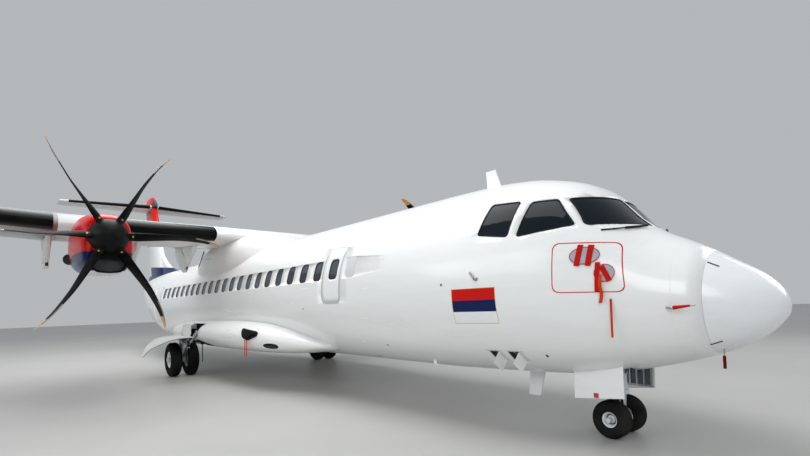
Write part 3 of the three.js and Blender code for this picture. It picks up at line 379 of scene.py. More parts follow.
# Wing and stabiliser: distance from the centreline, leading edge station, chord, height of the
# leading edge, thickness share. Fin: height, leading edge station, chord, offset, thickness share.
WING_JOIN, WING_TIP = 4.660, 13.525
WING = [
    (0.0, 11.170, 2.570, 3.570, 0.18),
    (WING_JOIN, 11.170, 2.570, 3.570, 0.18),
    (13.330, 11.560, 1.600, 3.948, 0.14),
    (WING_TIP, 11.660, 1.380, 3.957, 0.09),
]
FIN = [
    (2.960, 22.675, 3.670, 0.0, 0.11),
    (3.300, 22.870, 3.500, 0.0, 0.12),
    (6.850, 24.929, 2.003, 0.0, 0.12),
]
STABILISER = [
    (0.0, 25.120, 2.046, 6.900, 0.12),
    (3.560, 25.790, 1.290, 6.900, 0.11),
    (3.655, 25.850, 1.160, 6.900, 0.07),
]
WING_CAMBER, INCIDENCE = 0.025, 2.0
SEAT, CLEAR = 0.0003, 0.008


def X(station):
    return LENGTH / 2 - station


def between(rows, column, place):
    """Smooth value of one column between the rows of a table, with no overshoot."""
    last = len(rows) - 1
    if place <= rows[0][0]:
        return rows[0][column]
    if place >= rows[last][0]:
        return rows[last][column]
    i = 0
    while rows[i + 1][0] < place:
        i += 1

    def span(k):
        return rows[k + 1][0] - rows[k][0]

    def rise(k):
        return (rows[k + 1][column] - rows[k][column]) / span(k)

    def slope(k):
        if k == 0:
            return rise(0)
        if k == last:
            return rise(last - 1)
        before, after = rise(k - 1), rise(k)
        if before * after <= 0:
            return 0
        near = 2 * span(k) + span(k - 1)
        far = span(k) + 2 * span(k - 1)
        return (near + far) / (near / before + far / after)

    width = span(i)
    t = (place - rows[i][0]) / width
    start, end = rows[i][column], rows[i + 1][column]
    ease = t * t * (3 - 2 * t)
    turn = (1 - t) * slope(i) - t * slope(i + 1)
    return start + (end - start) * ease + width * t * (1 - t) * turn


def read(rows, place):
    """Smooth values of every column after the first."""
    return [between(rows, column, place) for column in range(1, len(rows[0]))]


def mix(rows, place):
    """Straight-line value of every column."""
    i = 0
    while i < len(rows) - 2 and rows[i + 1][0] < place:
        i += 1
    t = (place - rows[i][0]) / (rows[i + 1][0] - rows[i][0])
    return [a + (b - a) * t for a, b in zip(rows[i], rows[i + 1])]


print("body half width at the cabin", read(BODY, 10)[0], "m")


# %% Curves and closed turns
def smooth(points, steps=6):
    """Catmull-Rom curve through points of any size."""
    points = [Vector(p) for p in points]
    ends = [points[0] * 2 - points[1]] + points + [points[-1] * 2 - points[-2]]
    path = []
    for i in range(1, len(ends) - 2):
        a, b, c, d = ends[i - 1 : i + 3]
        for k in range(steps):
            t = k / steps
            bend = (2 * a - 5 * b + 4 * c - d) * t**2 + (3 * b - a - 3 * c + d) * t**3
            path.append((2 * b + (c - a) * t + bend) * 0.5)
    return path + [points[-1]]


def spaced(start, end, steps):
    """Evenly spaced values, both ends included."""
    return [start + (end - start) * k / steps for k in range(steps + 1)]


def arc(start, end, steps):
    return [math.radians(angle) for angle in spaced(start, end, steps)]


def full_turn(sides):
    return [2 * math.pi * k / sides for k in range(sides)]


def squarish(angle, power):
    """Point of a unit circle that is squared off by a power: 2 stays round."""
    c, s = math.cos(angle), math.sin(angle)
    return [math.copysign(abs(part) ** (2 / power), part) for part in (c, s)]


print("corner of a squarish section", [round(part, 3) for part in squarish(math.pi / 4, 2.8)])


# %% Shapes as plain lists of points and faces, joined into pieces
def loft(rings, caps=True):
    """Closed skin over rings of equal count."""
    count = len(rings[0])
    points = [tuple(p) for ring in rings for p in ring]
    faces = []
    for i in range(len(rings) - 1):
        for j in range(count):
            a, b = i * count + j, i * count + (j + 1) % count
            faces.append((a, b, b + count, a + count))
    if caps:
        faces.append(tuple(reversed(range(count))))
        faces.append(tuple(range(len(points) - count, len(points))))
    return points, faces


def revolve(profile, sides, place, axis="Y"):
    """Profile of (radius, height) turned about an axis through a place. Zero radius closes it."""
    rings = []
    for radius, height in profile:
        ring = []
        for a in full_turn(sides):
            c, s = radius * math.cos(a), radius * math.sin(a)
            local = {"X": (height, c, s), "Y": (s, height, c), "Z": (c, s, height)}[axis]
            ring.append(Vector(local) + Vector(place))
        rings.append(ring)
    return loft(rings)


def ring_about(centre, across, other, radius, sides):
    """Round ring about a centre, in the plane of two directions."""
    return [centre + (across * math.cos(a) + other * math.sin(a)) * radius for a in full_turn(sides)]


def rod(start, end, radius, sides=16, end_radius=None):
    """Straight round rod between two points."""
    start, end = Vector(start), Vector(end)
    along = (end - start).normalized()
    across = along.orthogonal().normalized()
    other = along.cross(across)
    ends = (start, radius), (end, radius if end_radius is None else end_radius)
    return loft([ring_about(centre, across, other, r, sides) for centre, r in ends])


def hose(points, radius, sides=8):
    """Round tube along a smooth curve through a few points."""
    path = smooth(points)
    rings = []
    across = (path[1] - path[0]).orthogonal().normalized()
    for k, spot in enumerate(path):
        ahead = (path[min(k + 1, len(path) - 1)] - path[max(k - 1, 0)]).normalized()
        across = (across - ahead * across.dot(ahead)).normalized()
        rings.append(ring_about(spot, across, ahead.cross(across), radius, sides))
    return loft(rings)


def block(low, high, bevel=0.0):
    """Box between two corners, with its edges along X chamfered."""
    (x0, y0, z0), (x1, y1, z1) = low, high
    b = bevel
    outline = [
        (y0 + b, z0), (y1 - b, z0), (y1, z0 + b), (y1, z1 - b),
        (y1 - b, z1), (y0 + b, z1), (y0, z1 - b), (y0, z0 + b),
    ] if b else [(y0, z0), (y1, z0), (y1, z1), (y0, z1)]
    return loft([[(x, y, z) for y, z in outline] for x in (x0, x1)])


def mirrored(shape):
    points, faces = shape
    return [(x, -y, z) for x, y, z in points], [tuple(reversed(face)) for face in faces]


def mesh_from(name, shapes):
    """One mesh from shapes, with its faces turned outwards."""
    points, faces = [], []
    for shape_points, shape_faces in shapes:
        offset = len(points)
        points += [tuple(p) for p in shape_points]
        faces += [tuple(k + offset for k in face) for face in shape_faces]
    mesh = bpy.data.meshes.new(name)
    mesh.from_pydata(points, [], faces)
    work = bmesh.new()
    work.from_mesh(mesh)
    bmesh.ops.remove_doubles(work, verts=work.verts, dist=1e-6)
    bmesh.ops.recalc_face_normals(work, faces=work.faces)
    work.to_mesh(mesh)
    work.free()
    return mesh


def piece(name, shapes, material, body="airframe", slot="body_paint", sharp=32, replaces=()):
    """Object from shapes, smooth up to an angle, that rides on a body."""
    mesh = shapes if isinstance(shapes, bpy.types.Mesh) else mesh_from(name, shapes)
    mesh.materials.clear()
    mesh.materials.append(material)
    mesh.shade_smooth()
    mesh.set_sharp_from_angle(angle=math.radians(sharp))
    made = bpy.data.objects.new(name, mesh)
    bpy.context.scene.collection.objects.link(made)
    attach(made, body)
    if replaces:
        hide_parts(*replaces)
    return made


def pair(name, shapes, material, body="airframe", replaces=(), **rest):
    """A port piece and its mirror image. Names and bodies that end in _left get their twin."""
    for side in ("left", "right"):
        turned = shapes if side == "left" else [mirrored(shape) for shape in shapes]
        host = body.replace("_left", f"_{side}")
        gone = tuple(node.replace("_left", f"_{side}") for node in replaces)
        piece(f"{name}_{side}", turned, material, host, replaces=gone, **rest)


def shade_like(mesh, reference, reach=0.006):
    """Corners that still lie on the uncut skin take its smooth normals, so cuts leave no dents."""
    tree = BVHTree.FromPolygons(
        [v.co for v in reference.vertices], [tuple(p.vertices) for p in reference.polygons]
    )
    corners = [n.vector.copy() for n in reference.corner_normals]
    mesh.shade_smooth()
    normals = []
    for polygon in mesh.polygons:
        for loop in polygon.loop_indices:
            spot = mesh.vertices[mesh.loops[loop].vertex_index].co
            inward = spot.lerp(polygon.center, 0.02)
            found, facing, index, _ = tree.find_nearest(inward, reach)
            if found is None or facing.dot(polygon.normal) < 0.9:
                normals.append(polygon.normal.copy())
                continue
            source = reference.polygons[index]
            weights = poly_3d_calc([reference.vertices[v].co for v in source.vertices], spot)
            total = Vector((0, 0, 0))
            for weight, corner in zip(weights, source.loop_indices):
                total += corners[corner] * weight
            normals.append(total.normalized())
    mesh.normals_split_custom_set(normals)
    return mesh


def carve(mesh, tools, sharp=32):
    """The mesh with closed tool shapes cut away and its shading kept."""
    mesh.shade_smooth()
    mesh.set_sharp_from_angle(angle=math.radians(sharp))
    target = bpy.data.objects.new("carve", mesh)
    cutter = bpy.data.objects.new("cutter", mesh_from("cutter", tools))
    for made in (target, cutter):
        bpy.context.scene.collection.objects.link(made)
    cutting = target.modifiers.new("cut", "BOOLEAN")
    cutting.operation, cutting.solver, cutting.object = "DIFFERENCE", "EXACT", cutter
    cutting.use_self = True
    seen = target.evaluated_get(bpy.context.evaluated_depsgraph_get())
    result = bpy.data.meshes.new_from_object(seen)
    bpy.data.objects.remove(target)
    bpy.data.objects.remove(cutter)
    return shade_like(result, mesh, 0.0005)


def carved_pair(name, solid, tools, material, slot, node):
    """A port shell with tools cut away, and its mirror image, for two nodes of the model."""
    for side in ("left", "right"):
        shapes = [solid, *tools]
        if side == "right":
            shapes = [mirrored(shape) for shape in shapes]
        shell = carve(mesh_from(f"{name}_{side}", shapes[:1]), shapes[1:])
        gone = (f"{node}_{side}",)
        piece(f"{name}_{side}", shell, material, slot=slot, sharp=180, replaces=gone)


print("faces of a rod", len(rod((0, 0, 0), (0, 0, 1), 0.1)[1]))

# %% [markdown]
# ## Patches that follow the skin
# Windows, doors, bands of paint and covers all lie on a curved skin. Each is drawn flat, as a
# rounded polygon of station and height, and every point is then dropped on to the body's own
# formula and moved out or in along its normal. So it fits everywhere, and what is cut in the skin
# for it fits too.


# %% The body's formula
def body_values(station):
    return read(BODY, station)


def body_level(p):
    """Under 0 inside the body, 0 on its skin, over 0 outside."""
    width, top, bottom, middle, upper, lower = body_values(LENGTH / 2 - p.x)
    power, tall = (upper, top - middle) if p.z >= middle else (lower, middle - bottom)
    return (abs(p.y) / width) ** power + (abs(p.z - middle) / tall) ** power - 1


def normal_of(level):
    """Finds the outward normal of a surface, from a function that is over 0 outside it."""

    def normal(p, step=0.002):
        axes = [Vector(row) * step for row in ((1, 0, 0), (0, 1, 0), (0, 0, 1))]
        return Vector([level(p + axis) - level(p - axis) for axis in axes]).normalized()

    return normal


body_normal = normal_of(body_level)


def on_side(side):
    """Finds the skin at a station and height, on port (1) or starboard (-1)."""

    def find(station, z):
        width, top, bottom, middle, upper, lower = body_values(station)
        power, tall = (upper, top - middle) if z >= middle else (lower, middle - bottom)
        share = max(0.0, 1 - (abs(z - middle) / tall) ** power)
        return Vector((X(station), side * width * share ** (1 / power), z))

    return find


def ahead(y, z):
    """Finds the skin seen from ahead, at a distance from the centreline and a height."""
    low, high = 0.05, 3.0
    for _ in range(40):
        station = (low + high) / 2
        if body_level(Vector((X(station), y, z))) > 0:
            low = station
        else:
            high = station
    return Vector((X(station), y, z))


def below(station, y):
    """Finds the skin underneath at a station and distance from the centreline."""
    width, _, bottom, middle, _, lower = body_values(station)
    share = max(0.0, 1 - (abs(y) / width) ** lower)
    return Vector((X(station), y, middle - (middle - bottom) * share ** (1 / lower)))


port, starboard = on_side(1), on_side(-1)
print("skin 2 m up at the cabin", [round(part, 3) for part in port(10, 2)])


# %% Rounded outlines, patches and bands
def outline(corners, radius, grow=0.0, step=0.07):
    """Polygon with rounded corners as a closed loop, moved outwards by grow."""
    corners = [Vector(c).to_2d() for c in corners]
    area = sum(a.cross(b) for a, b in zip(corners, corners[1:] + corners[:1]))
    turn = 1 if area > 0 else -1
    moved = []
    for last, corner, after in zip(corners[-1:] + corners, corners, corners[1:] + corners[:1]):
        before, beyond = (corner - last).normalized(), (after - corner).normalized()
        out_a, out_b = (Vector((way.y, -way.x)) * turn for way in (before, beyond))
        half = (out_a + out_b).normalized()
        moved.append(corner + half * (grow / max(half.dot(out_a), 0.3)))
    loop = []

    def fill(target):
        """Points along the straight run to a target."""
        count = int((target - loop[-1]).length / step)
        for k in range(1, count + 1):
            loop.append(loop[-1].lerp(target, 1 / (count + 2 - k)))

    bend = radius + max(grow, 0)
    for last, corner, after in zip(moved[-1:] + moved, moved, moved[1:] + moved[:1]):
        to_last, to_next = last - corner, after - corner
        a = corner + to_last.normalized() * min(bend, to_last.length * 0.49)
        b = corner + to_next.normalized() * min(bend, to_next.length * 0.49)
        if loop:
            fill(a)
        loop += [a * (1 - t) ** 2 + corner * 2 * t * (1 - t) + b * t * t for t in CORNER_STEPS]
    fill(loop[0])
    return loop


CORNER_STEPS = (0, 0.2, 0.4, 0.6, 0.8, 1)


def patch(corners, find, low, high, radius=0.05, grow=0.0, rings=5, normal=body_normal):
    """Closed slab under a rounded outline, from low to high over the skin."""
    loop = outline(corners, radius, grow)
    centre = sum(loop, Vector((0, 0))) / len(loop)
    count = len(loop)
    shares = [ring / rings for ring in range(rings)]
    spots = [spot.lerp(centre, share) for share in shares for spot in loop] + [centre]
    points, faces = [], []
    for level in (high, low):
        for p in (find(*spot) for spot in spots):
            points.append(p + normal(p) * level)
    layer = len(spots)
    for base in (0, layer):
        inner = base + (rings - 1) * count
        for start in range(base, inner, count):
            for k in range(count):
                a, b = start + k, start + (k + 1) % count
                faces.append((a, b, b + count, a + count))
        faces += [(inner + k, inner + (k + 1) % count, base + layer - 1) for k in range(count)]
    faces += [(k, (k + 1) % count, layer + (k + 1) % count, layer + k) for k in range(count)]
    return points, faces


def band(corners, find, low, high, radius, inner, outer):
    """Closed ring between two grown outlines, from low to high over the skin."""
    wide, slim = outline(corners, radius, outer), outline(corners, radius, inner)
    if len(slim) != len(wide):
        slim = [near(spot, slim) for spot in wide]
    points, faces = [], []
    for loop, level in ((wide, high), (slim, high), (slim, low), (wide, low)):
        for p in (find(*spot) for spot in loop):
            points.append(p + body_normal(p) * level)
    count = len(wide)
    for layer in range(4):
        a, b = layer * count, (layer + 1) % 4 * count
        for k in range(count):
            after = (k + 1) % count
            faces.append((a + k, a + after, b + after, b + k))
    return points, faces


def near(spot, loop):
    """Nearest point to a spot on a closed loop."""
    best = None
    for a, b in zip(loop, loop[1:] + loop[:1]):
        along = b - a
        t = 0 if along.length < 1e-9 else (spot - a).dot(along) / along.length_squared
        candidate = a + along * min(max(t, 0), 1)
        if best is None or (candidate - spot).length < (best - spot).length:
            best = candidate
    return best


def rectangle(start, end, bottom, top):
    return [(start, bottom), (end, bottom), (end, top), (start, top)]


print("points round a rounded square", len(outline(rectangle(0, 1, 0, 1), 0.1)))

# %% [markdown]
# ## Fuselage
# The fuselage is a pressure tube: one constant section along the cabin, a drooped nose, and a tail
# that sweeps up. Openings are cut with the same patches that make the doors and panes, a few
# millimetres larger, so each one shows the thin dark gap that a fitted panel has.

# %% Loft of the whole body
BODY_SIDES = 96
SEAM, TAIL_SEAM = 0.600, 25.000
# Between these stations the section stays the same
CABIN = (4.2, 18.5)


def body_ring(station):
    width, top, bottom, middle, upper, lower = body_values(station)
    ring = []
    for angle in full_turn(BODY_SIDES):
        high = math.sin(angle) >= 0
        power, tall = (upper, top - middle) if high else (lower, middle - bottom)
        y, z = squarish(angle, power)
        ring.append((X(station), width * y, middle + tall * z))
    return ring


def body_mesh(name, start, end, pitch=0.15):
    """Body between two stations, with rings closer together at the nose."""
    stations = [start]
    while stations[-1] < end - 1e-6:
        here = stations[-1]
        constant = CABIN[0] <= here < CABIN[1]
        stride = 1.1 if constant else min(pitch, max(0.012, 0.35 * here + 0.01))
        stations.append(min(here + stride, end))
    return mesh_from(name, [loft([body_ring(s) for s in stations])])


# Cabin windows: station of the first, pitch, count, centre height, width, height
WINDOWS = {"first": 5.463, "pitch": FRAME_PITCH, "count": 24, "z": 2.291, "wide": 0.27, "tall": 0.35}
EXIT = {"from": 5.785, "to": 6.295, "bottom": 1.750, "top": 2.660}
PASSENGER_DOOR = {"from": 17.640, "to": 18.460, "bottom": 1.150, "top": 2.900}
CARGO_DOOR = {"from": 3.560, "to": 4.835, "bottom": 1.150, "top": 2.680}
SERVICE_DOOR = {"from": 17.740, "to": 18.350, "bottom": 1.320, "top": 2.540}
DOOR_CORNER, WINDOW_CORNER = 0.09, 0.09
# Depths under the skin: floor of a window's recess, its sheet, and the floors of the door recesses
WINDOW_RECESS, WINDOW_BACK, WINDOW_FACE = 0.016, 0.0155, 0.008
DOOR_RECESS, SERVICE_RECESS, EXIT_RECESS, PANE_RECESS = 0.096, 0.0603, 0.0503, 0.024


def opening(door):
    return rectangle(door["from"], door["to"], door["bottom"], door["top"])


def window_corners(station):
    w = WINDOWS
    half, tall = w["wide"] / 2, w["tall"] / 2
    return rectangle(station - half, station + half, w["z"] - tall, w["z"] + tall)


window_stations = [WINDOWS["first"] + WINDOWS["pitch"] * k for k in range(WINDOWS["count"])]
blank_window, exit_window = window_stations[:2]


def clear_of(door, station):
    return not door["from"] - 0.15 < station < door["to"] + 0.15


port_windows = [s for s in window_stations[2:] if clear_of(PASSENGER_DOOR, s)]
starboard_windows = [s for s in window_stations[2:] if clear_of(SERVICE_DOOR, s)]
print("windows", len(port_windows), "port and", len(starboard_windows), "starboard")

# Cockpit panes: stations and heights of the side panes, distances out and heights of the windshield
FRONT_PANE = [(1.692, 2.466), (1.942, 2.807), (2.246, 2.816), (2.323, 2.392)]
REAR_PANE = [(2.431, 2.404), (2.389, 2.847), (2.793, 2.871), (2.853, 2.466)]
WINDSHIELD = [(0.050, 2.465), (0.050, 2.838), (0.800, 2.803), (0.895, 2.455)]
PANE_CORNER, PANE_SINK, PANE_THICK = 0.045, 0.004, 0.022
NOSE_BAY = {"from": 1.420, "to": 2.130, "side": 0.350, "roof": 1.150}

# %% Cut the openings
whole_body = body_mesh("whole_body", 0, BODY[-1][0])
whole_body.shade_smooth()
GAP, THIN_GAP, OUT = 0.005, 0.003, 0.03
tools = []
for door, find, depth, gap in (
    (PASSENGER_DOOR, port, DOOR_RECESS, GAP),
    (CARGO_DOOR, port, DOOR_RECESS, GAP),
    (SERVICE_DOOR, starboard, SERVICE_RECESS, THIN_GAP),
    (EXIT, port, EXIT_RECESS, THIN_GAP),
    (EXIT, starboard, EXIT_RECESS, THIN_GAP),
):
    tools.append(patch(opening(door), find, -depth, OUT, DOOR_CORNER, gap))


def window_recess(station, find):
    return patch(window_corners(station), find, -WINDOW_RECESS, OUT, WINDOW_CORNER, rings=2)


for find, stations in ((port, port_windows), (starboard, starboard_windows)):
    tools += [window_recess(station, find) for station in stations + [blank_window]]
for corners, find in ((FRONT_PANE, port), (REAR_PANE, port), (WINDSHIELD, ahead)):
    pane = patch(corners, find, -PANE_RECESS, OUT, PANE_CORNER, 0.004)
    tools += [pane, mirrored(pane)]
# Two small doors in the lower starboard side stand open: station of their rear and front edges
SMALL_DOORS = [(2.640, 2.495), (2.900, 2.768)]
SMALL_DOOR_TOP, SMALL_DOOR_LOW, SMALL_RECESS, SMALL_CORNER = 1.043, 0.912, 0.060, 0.012
for rear, front in SMALL_DOORS:
    corners = rectangle(front, rear, SMALL_DOOR_LOW, SMALL_DOOR_TOP)
    tools.append(patch(corners, starboard, -SMALL_RECESS, OUT, SMALL_CORNER))
bay = NOSE_BAY
tools.append(block((X(bay["to"]), -bay["side"], 0), (X(bay["from"]), bay["side"], bay["roof"])))

fuselage_mesh = carve(body_mesh("fuselage_skin", SEAM, TAIL_SEAM), tools)
piece("fuselage_skin", fuselage_mesh, body_white, replaces=("fuselage",), sharp=180)
print("fuselage faces", len(fuselage_mesh.polygons))

# %% Radome and tail cone
radome = body_mesh("radome_shell", 0, SEAM - 0.004)
piece("radome_shell", radome, radome_white, slot="radome_paint", replaces=("radome",))
cone = body_mesh("tail_cone_shell", TAIL_SEAM + 0.003, BODY[-1][0])
piece("tail_cone_shell", cone, body_white, replaces=("tail_cone",))
print("radome faces", len(radome.polygons), "and tail cone faces", len(cone.polygons))

# %% [markdown]
# ## Cockpit glass, cabin windows and doors
# Cockpit panes are thick laminated glass in a black seal. A cabin window is an acrylic pane set
# back from the skin by a few millimetres, with a dark gasket round it. Each door is a slab of the
# body's own curve, as thick as the door really is, so it stays a real door when it swings open.

# %% Cockpit panes with their seals
seal_black = rubber("window_seal", "1a1b1d", 0.55, 3, 0.05)
for name, corners, find in (
    ("front_side_pane", FRONT_PANE, port),
    ("rear_side_pane", REAR_PANE, port),
    ("windshield", WINDSHIELD, ahead),
):
    glass = patch(corners, find, -PANE_THICK, -PANE_SINK, PANE_CORNER, -0.012)
    seal = band(corners, find, -PANE_THICK, 0.0015, PANE_CORNER, -0.012, 0.003)
    pair(f"{name}_glass", [glass], glass_dark, slot="cockpit_glass", replaces=(f"{name}_left",))
    pair(f"{name}_seal", [seal], seal_black, slot="cockpit_glass")

# %% Cabin windows
# The first opening on each side has a plain plug instead of a pane
plug_grey = gloss_paint("plug_grey", "c9cccd", roughness=0.4)
# Stretched acrylic: clear and hard, dark from outside because the cabin behind it is dark
acrylic = clouded_material(
    "stretched_acrylic", ("1a2026", "5a646c"), {"Scale": per_metre(909.1), "Detail": 2.0},
    {"Roughness": 0.06, "Specular IOR Level": 0.35},
)
PANE_FRAME = 0.016
for side, find, stations in (("left", port, port_windows), ("right", starboard, starboard_windows)):
    panes, gaskets = [], []
    for station in [exit_window] + stations:
        corners = window_corners(station)
        panes.append(patch(corners, find, -WINDOW_BACK, -WINDOW_FACE, WINDOW_CORNER, -PANE_FRAME, 2))
        gaskets.append(band(corners, find, -WINDOW_BACK, -0.001, WINDOW_CORNER, -PANE_FRAME, -0.0005))
    piece(f"cabin_windows_{side}", panes, acrylic, slot="cockpit_glass")
    piece(f"window_gaskets_{side}", gaskets, seal_black, slot="body_paint")
    corners = window_corners(blank_window)
    plug = patch(corners, find, -WINDOW_BACK, -0.001, WINDOW_CORNER, -0.003, 2)
    piece(f"window_plug_{side}", [plug], plug_grey)
print("panes", len(port_windows) + len(starboard_windows) + 2)

# %% Doors
DOOR_RINGS = 8


def door_slab(door, find, thick):
    mesh = mesh_from("slab", [patch(opening(door), find, -thick, 0, DOOR_CORNER, 0, DOOR_RINGS)])
    if door is EXIT:
        mesh = carve(mesh, [window_recess(exit_window, find)])
    return shade_like(mesh, whole_body)


for name, door, find, thick, body in (
    ("passenger_door", PASSENGER_DOOR, port, 0.070, "passenger_door"),
    ("cargo_door", CARGO_DOOR, port, 0.070, "cargo_door"),
    ("service_door", SERVICE_DOOR, starboard, 0.060, "airframe"),
    ("exit_left", EXIT, port, 0.050, "airframe"),
    ("exit_right", EXIT, starboard, 0.050, "airframe"),
):
    slab = door_slab(door, find, thick)
    piece(f"{name}_panel", slab, body_white, body, sharp=180, replaces=(name,))

# Behind an open door lies the unlit cabin, so the floor of each recess gets a dark sheet of painted shade
doorways = [opening(door) for door in (PASSENGER_DOOR, CARGO_DOOR)]
doorway_shade = [patch(corners, port, -0.098, -0.090, DOOR_CORNER, 0.0045) for corners in doorways]
piece("door_recess_painted_shade", doorway_shade, dark_grey_and_painted_shade)

# Hinges: corners of each half as distances out and up from the hinge line
PASSENGER_HINGE = {
    "y": 1.232,
    "z": 1.128,
    "at": (17.800, 18.300),
    "leaf": [
        (-0.017, 0), (-0.018, 0.030), (-0.042, 0.040), (-0.032, 0.076), (0.023, 0.076), (0.017, 0),
    ],
    "bracket": [
        (-0.017, 0), (0.017, 0), (0.017, -0.018), (-0.052, -0.068),
        (-0.140, -0.068), (-0.120, -0.030), (-0.042, -0.020),
    ],
}
CARGO_HINGE = {
    "y": 1.240,
    "z": 2.706,
    "at": (3.760, 4.635),
    "leaf": [
        (-0.017, 0), (0.017, 0), (0.028, -0.076), (-0.036, -0.076), (-0.046, -0.044), (-0.018, -0.030),
    ],
    "bracket": [
        (-0.017, 0), (-0.040, 0.014), (-0.110, 0.024), (-0.150, 0.074),
        (-0.060, 0.074), (0.010, 0.024), (0.017, 0),
    ],
}
BARREL, BARREL_LONG, BARREL_GAP = 0.017, 0.060, 0.0003


def hinge_half(hinge, corners, start):
    """Plates with their barrels, at both places of a hinge line."""
    shapes = []
    for station in hinge["at"]:
        begin = X(station) + start
        ends = [Vector((x, hinge["y"], hinge["z"])) for x in (begin, begin + BARREL_LONG)]
        rings = [[end + Vector((0, out, rise)) for out, rise in corners] for end in ends]
        shapes += [loft(rings), rod(*ends, BARREL, 24)]
    return shapes


for name, hinge in (("passenger_door", PASSENGER_HINGE), ("cargo_door", CARGO_HINGE)):
    leaves = hinge_half(hinge, hinge["leaf"], -BARREL_LONG - BARREL_GAP)
    piece(f"{name}_hinge_leaves", leaves, body_white, name, sharp=40)
    piece(f"{name}_hinge_brackets", hinge_half(hinge, hinge["bracket"], 0), body_white, sharp=40)

# Round pads where the jacks go: station and distance from the middle
JACK_PADS = [(3.300, 0.0), (10.900, 0.620), (10.900, -0.620)]
PAD_TOP, PAD_FOOT, PAD_RADIUS = 0.760, 0.660, 0.045
pads = [rod((X(s), y, PAD_TOP), (X(s), y, PAD_FOOT), PAD_RADIUS, 32) for s, y in JACK_PADS]
piece("jack_pads", pads, bare_metal("jack_pad_steel", "a9adb0", 0.35), slot="gear_paint")

# Each emergency exit has a pale grey band round it, so that it is found in a hurry
band_grey = gloss_paint("exit_band_grey", "b4b9bc", roughness=0.35)
exit_band = band(opening(EXIT), port, -0.002, 0.0006, DOOR_CORNER, 0.006, 0.046)
pair("exit_band", [exit_band], band_grey)

# %% [markdown]
# ## Wing and tail surfaces
# A wing is a loft of airfoil sections. Here a section is one smooth curve of a number u, from -1 at
# the trailing edge underneath, through 0 at the leading edge, to 1 at the trailing edge on top. The
# share of the chord is u squared, which packs the points where the nose bends most. The rubber
# boots are sheets laid on the same curve, so they hug the edge exactly.


# %% Sections of wing, stabiliser and fin
class Span:
    """Wing, stabiliser or fin. Places run along Y, and up Z for the fin."""

    def __init__(self, rows, camber=0.0, incidence=0.0, upright=False):
        self.rows, self.camber, self.upright = rows, camber, upright
        self.slope = math.tan(math.radians(incidence))

    def at(self, place):
        return mix(self.rows, abs(place))[1:]

    def station(self, place, share):
        lead, chord = self.at(place)[:2]
        return lead + chord * share

    def height(self, place, share, side, slim=1.0):
        lead, chord, offset, thick = self.at(place)
        s, peak = min(max(share, 0), 1), 0.3
        bulge = 0.2969 * s**0.5 - 0.126 * s - 0.3516 * s**2 + 0.2843 * s**3 - 0.1036 * s**4
        front = self.camber / peak**2 * (2 * peak * s - s * s)
        back = self.camber / (1 - peak) ** 2 * (1 - 2 * peak + 2 * peak * s - s * s)
        line = front if s < peak else back
        half = (5 * thick * bulge * chord + 0.003 * s) * slim
        return offset + chord * (line - s * self.slope) + side * half

    def flat(self, place, u, slim=1.0):
        side = 0 if u == 0 else math.copysign(1, u)
        return Vector((self.station(place, u * u), self.height(place, u * u, side, slim)))

    def lay(self, place, u, out=0.0, slim=1.0):
        """Point of the surface, moved out along its normal."""
        spot = self.flat(place, u, slim)
        if out:
            after, before = self.flat(place, min(u + 0.01, 1)), self.flat(place, max(u - 0.01, -1))
            along = (after - before).normalized()
            spot += Vector((-along.y, along.x)) * out
        return self.put(place, [spot])[0]

    def put(self, place, ring):
        """Points of station and height, set in space at a place along the span."""
        if self.upright:
            return [Vector((X(station), height, place)) for station, height in ring]
        return [Vector((X(station), place, height)) for station, height in ring]


wing = Span(WING, WING_CAMBER, INCIDENCE)
fin = Span(FIN, upright=True)
stabiliser = Span(STABILISER)
SIDE_STEPS = 32


def full_ring(span, place, slim=1.0):
    return [span.lay(place, k / SIDE_STEPS, 0, slim) for k in range(-SIDE_STEPS, SIDE_STEPS + 1)]


def panel(span, places):
    return loft([full_ring(span, place) for place in places])


def tip_places(start, end):
    """Places and slimness towards a rounded tip."""
    turns = [0.0, 0.35, 0.6, 0.78, 0.9, 0.97]
    return [(start + (end - start) * t, math.sqrt(1 - t * t)) for t in turns]


thickest = wing.height(0, 0.3, 1) - wing.height(0, 0.3, -1)
print("wing thickness in the middle", round(thickest, 3), "m")


# %% Moving surfaces and the room that they turn in
FLAP = {"share": 0.71, "lip": 0.090, "lip_thick": 0.012, "drop": 0.430}
FLAPS = {"inboard": (1.380, 3.540, 0.008), "outboard": (4.705, 9.165, 0.050)}
AILERON = {"from": 9.260, "to": 13.260, "gap": 0.014, "share": 0.72}
ELEVATOR = {"from": 0.130, "to": 3.525, "gap": 0.012, "share": 0.66}
RUDDER = {"from": 3.460, "to": 6.650, "gap": 0.045, "share": 0.64}


def nose_hinge(span, place, share):
    high, low = span.height(place, share, 1), span.height(place, share, -1)
    return span.station(place, share), (high + low) / 2, (high - low) / 2


def control_ring(span, place, share):
    """Half-round nose about the hinge, then the airfoil to the trailing edge."""
    at, height, radius = nose_hinge(span, place, share)
    ring = [(at + radius * math.cos(a), height + radius * math.sin(a)) for a in arc(-90, -270, 14)]
    for side, steps in ((1, range(1, 9)), (-1, range(8, 0, -1))):
        for k in steps:
            s = share + (1 - share) * k / 8
            ring.append((span.station(place, s), span.height(place, s, side)))
    return span.put(place, ring)


def pocket(span, surface):
    """Tool that opens the room behind a cove for a surface and its gaps."""
    rings = []
    for place in (surface["from"] - surface["gap"], surface["to"] + surface["gap"]):
        at, height, radius = nose_hinge(span, place, surface["share"])
        reach, far = radius + CLEAR, span.station(place, 1) + 0.3
        ring = [(at + reach * math.cos(a), height + reach * math.sin(a)) for a in arc(-90, -270, 16)]
        ring += [(at, height + 0.5), (far, height + 0.5), (far, height - 0.5), (at, height - 0.5)]
        rings.append(span.put(place, ring))
    return loft(rings)


def wing_side(place, station, side):
    lead, chord = wing.at(place)[:2]
    return wing.height(place, (station - lead) / chord, side)


NOSE_REACH = 0.070


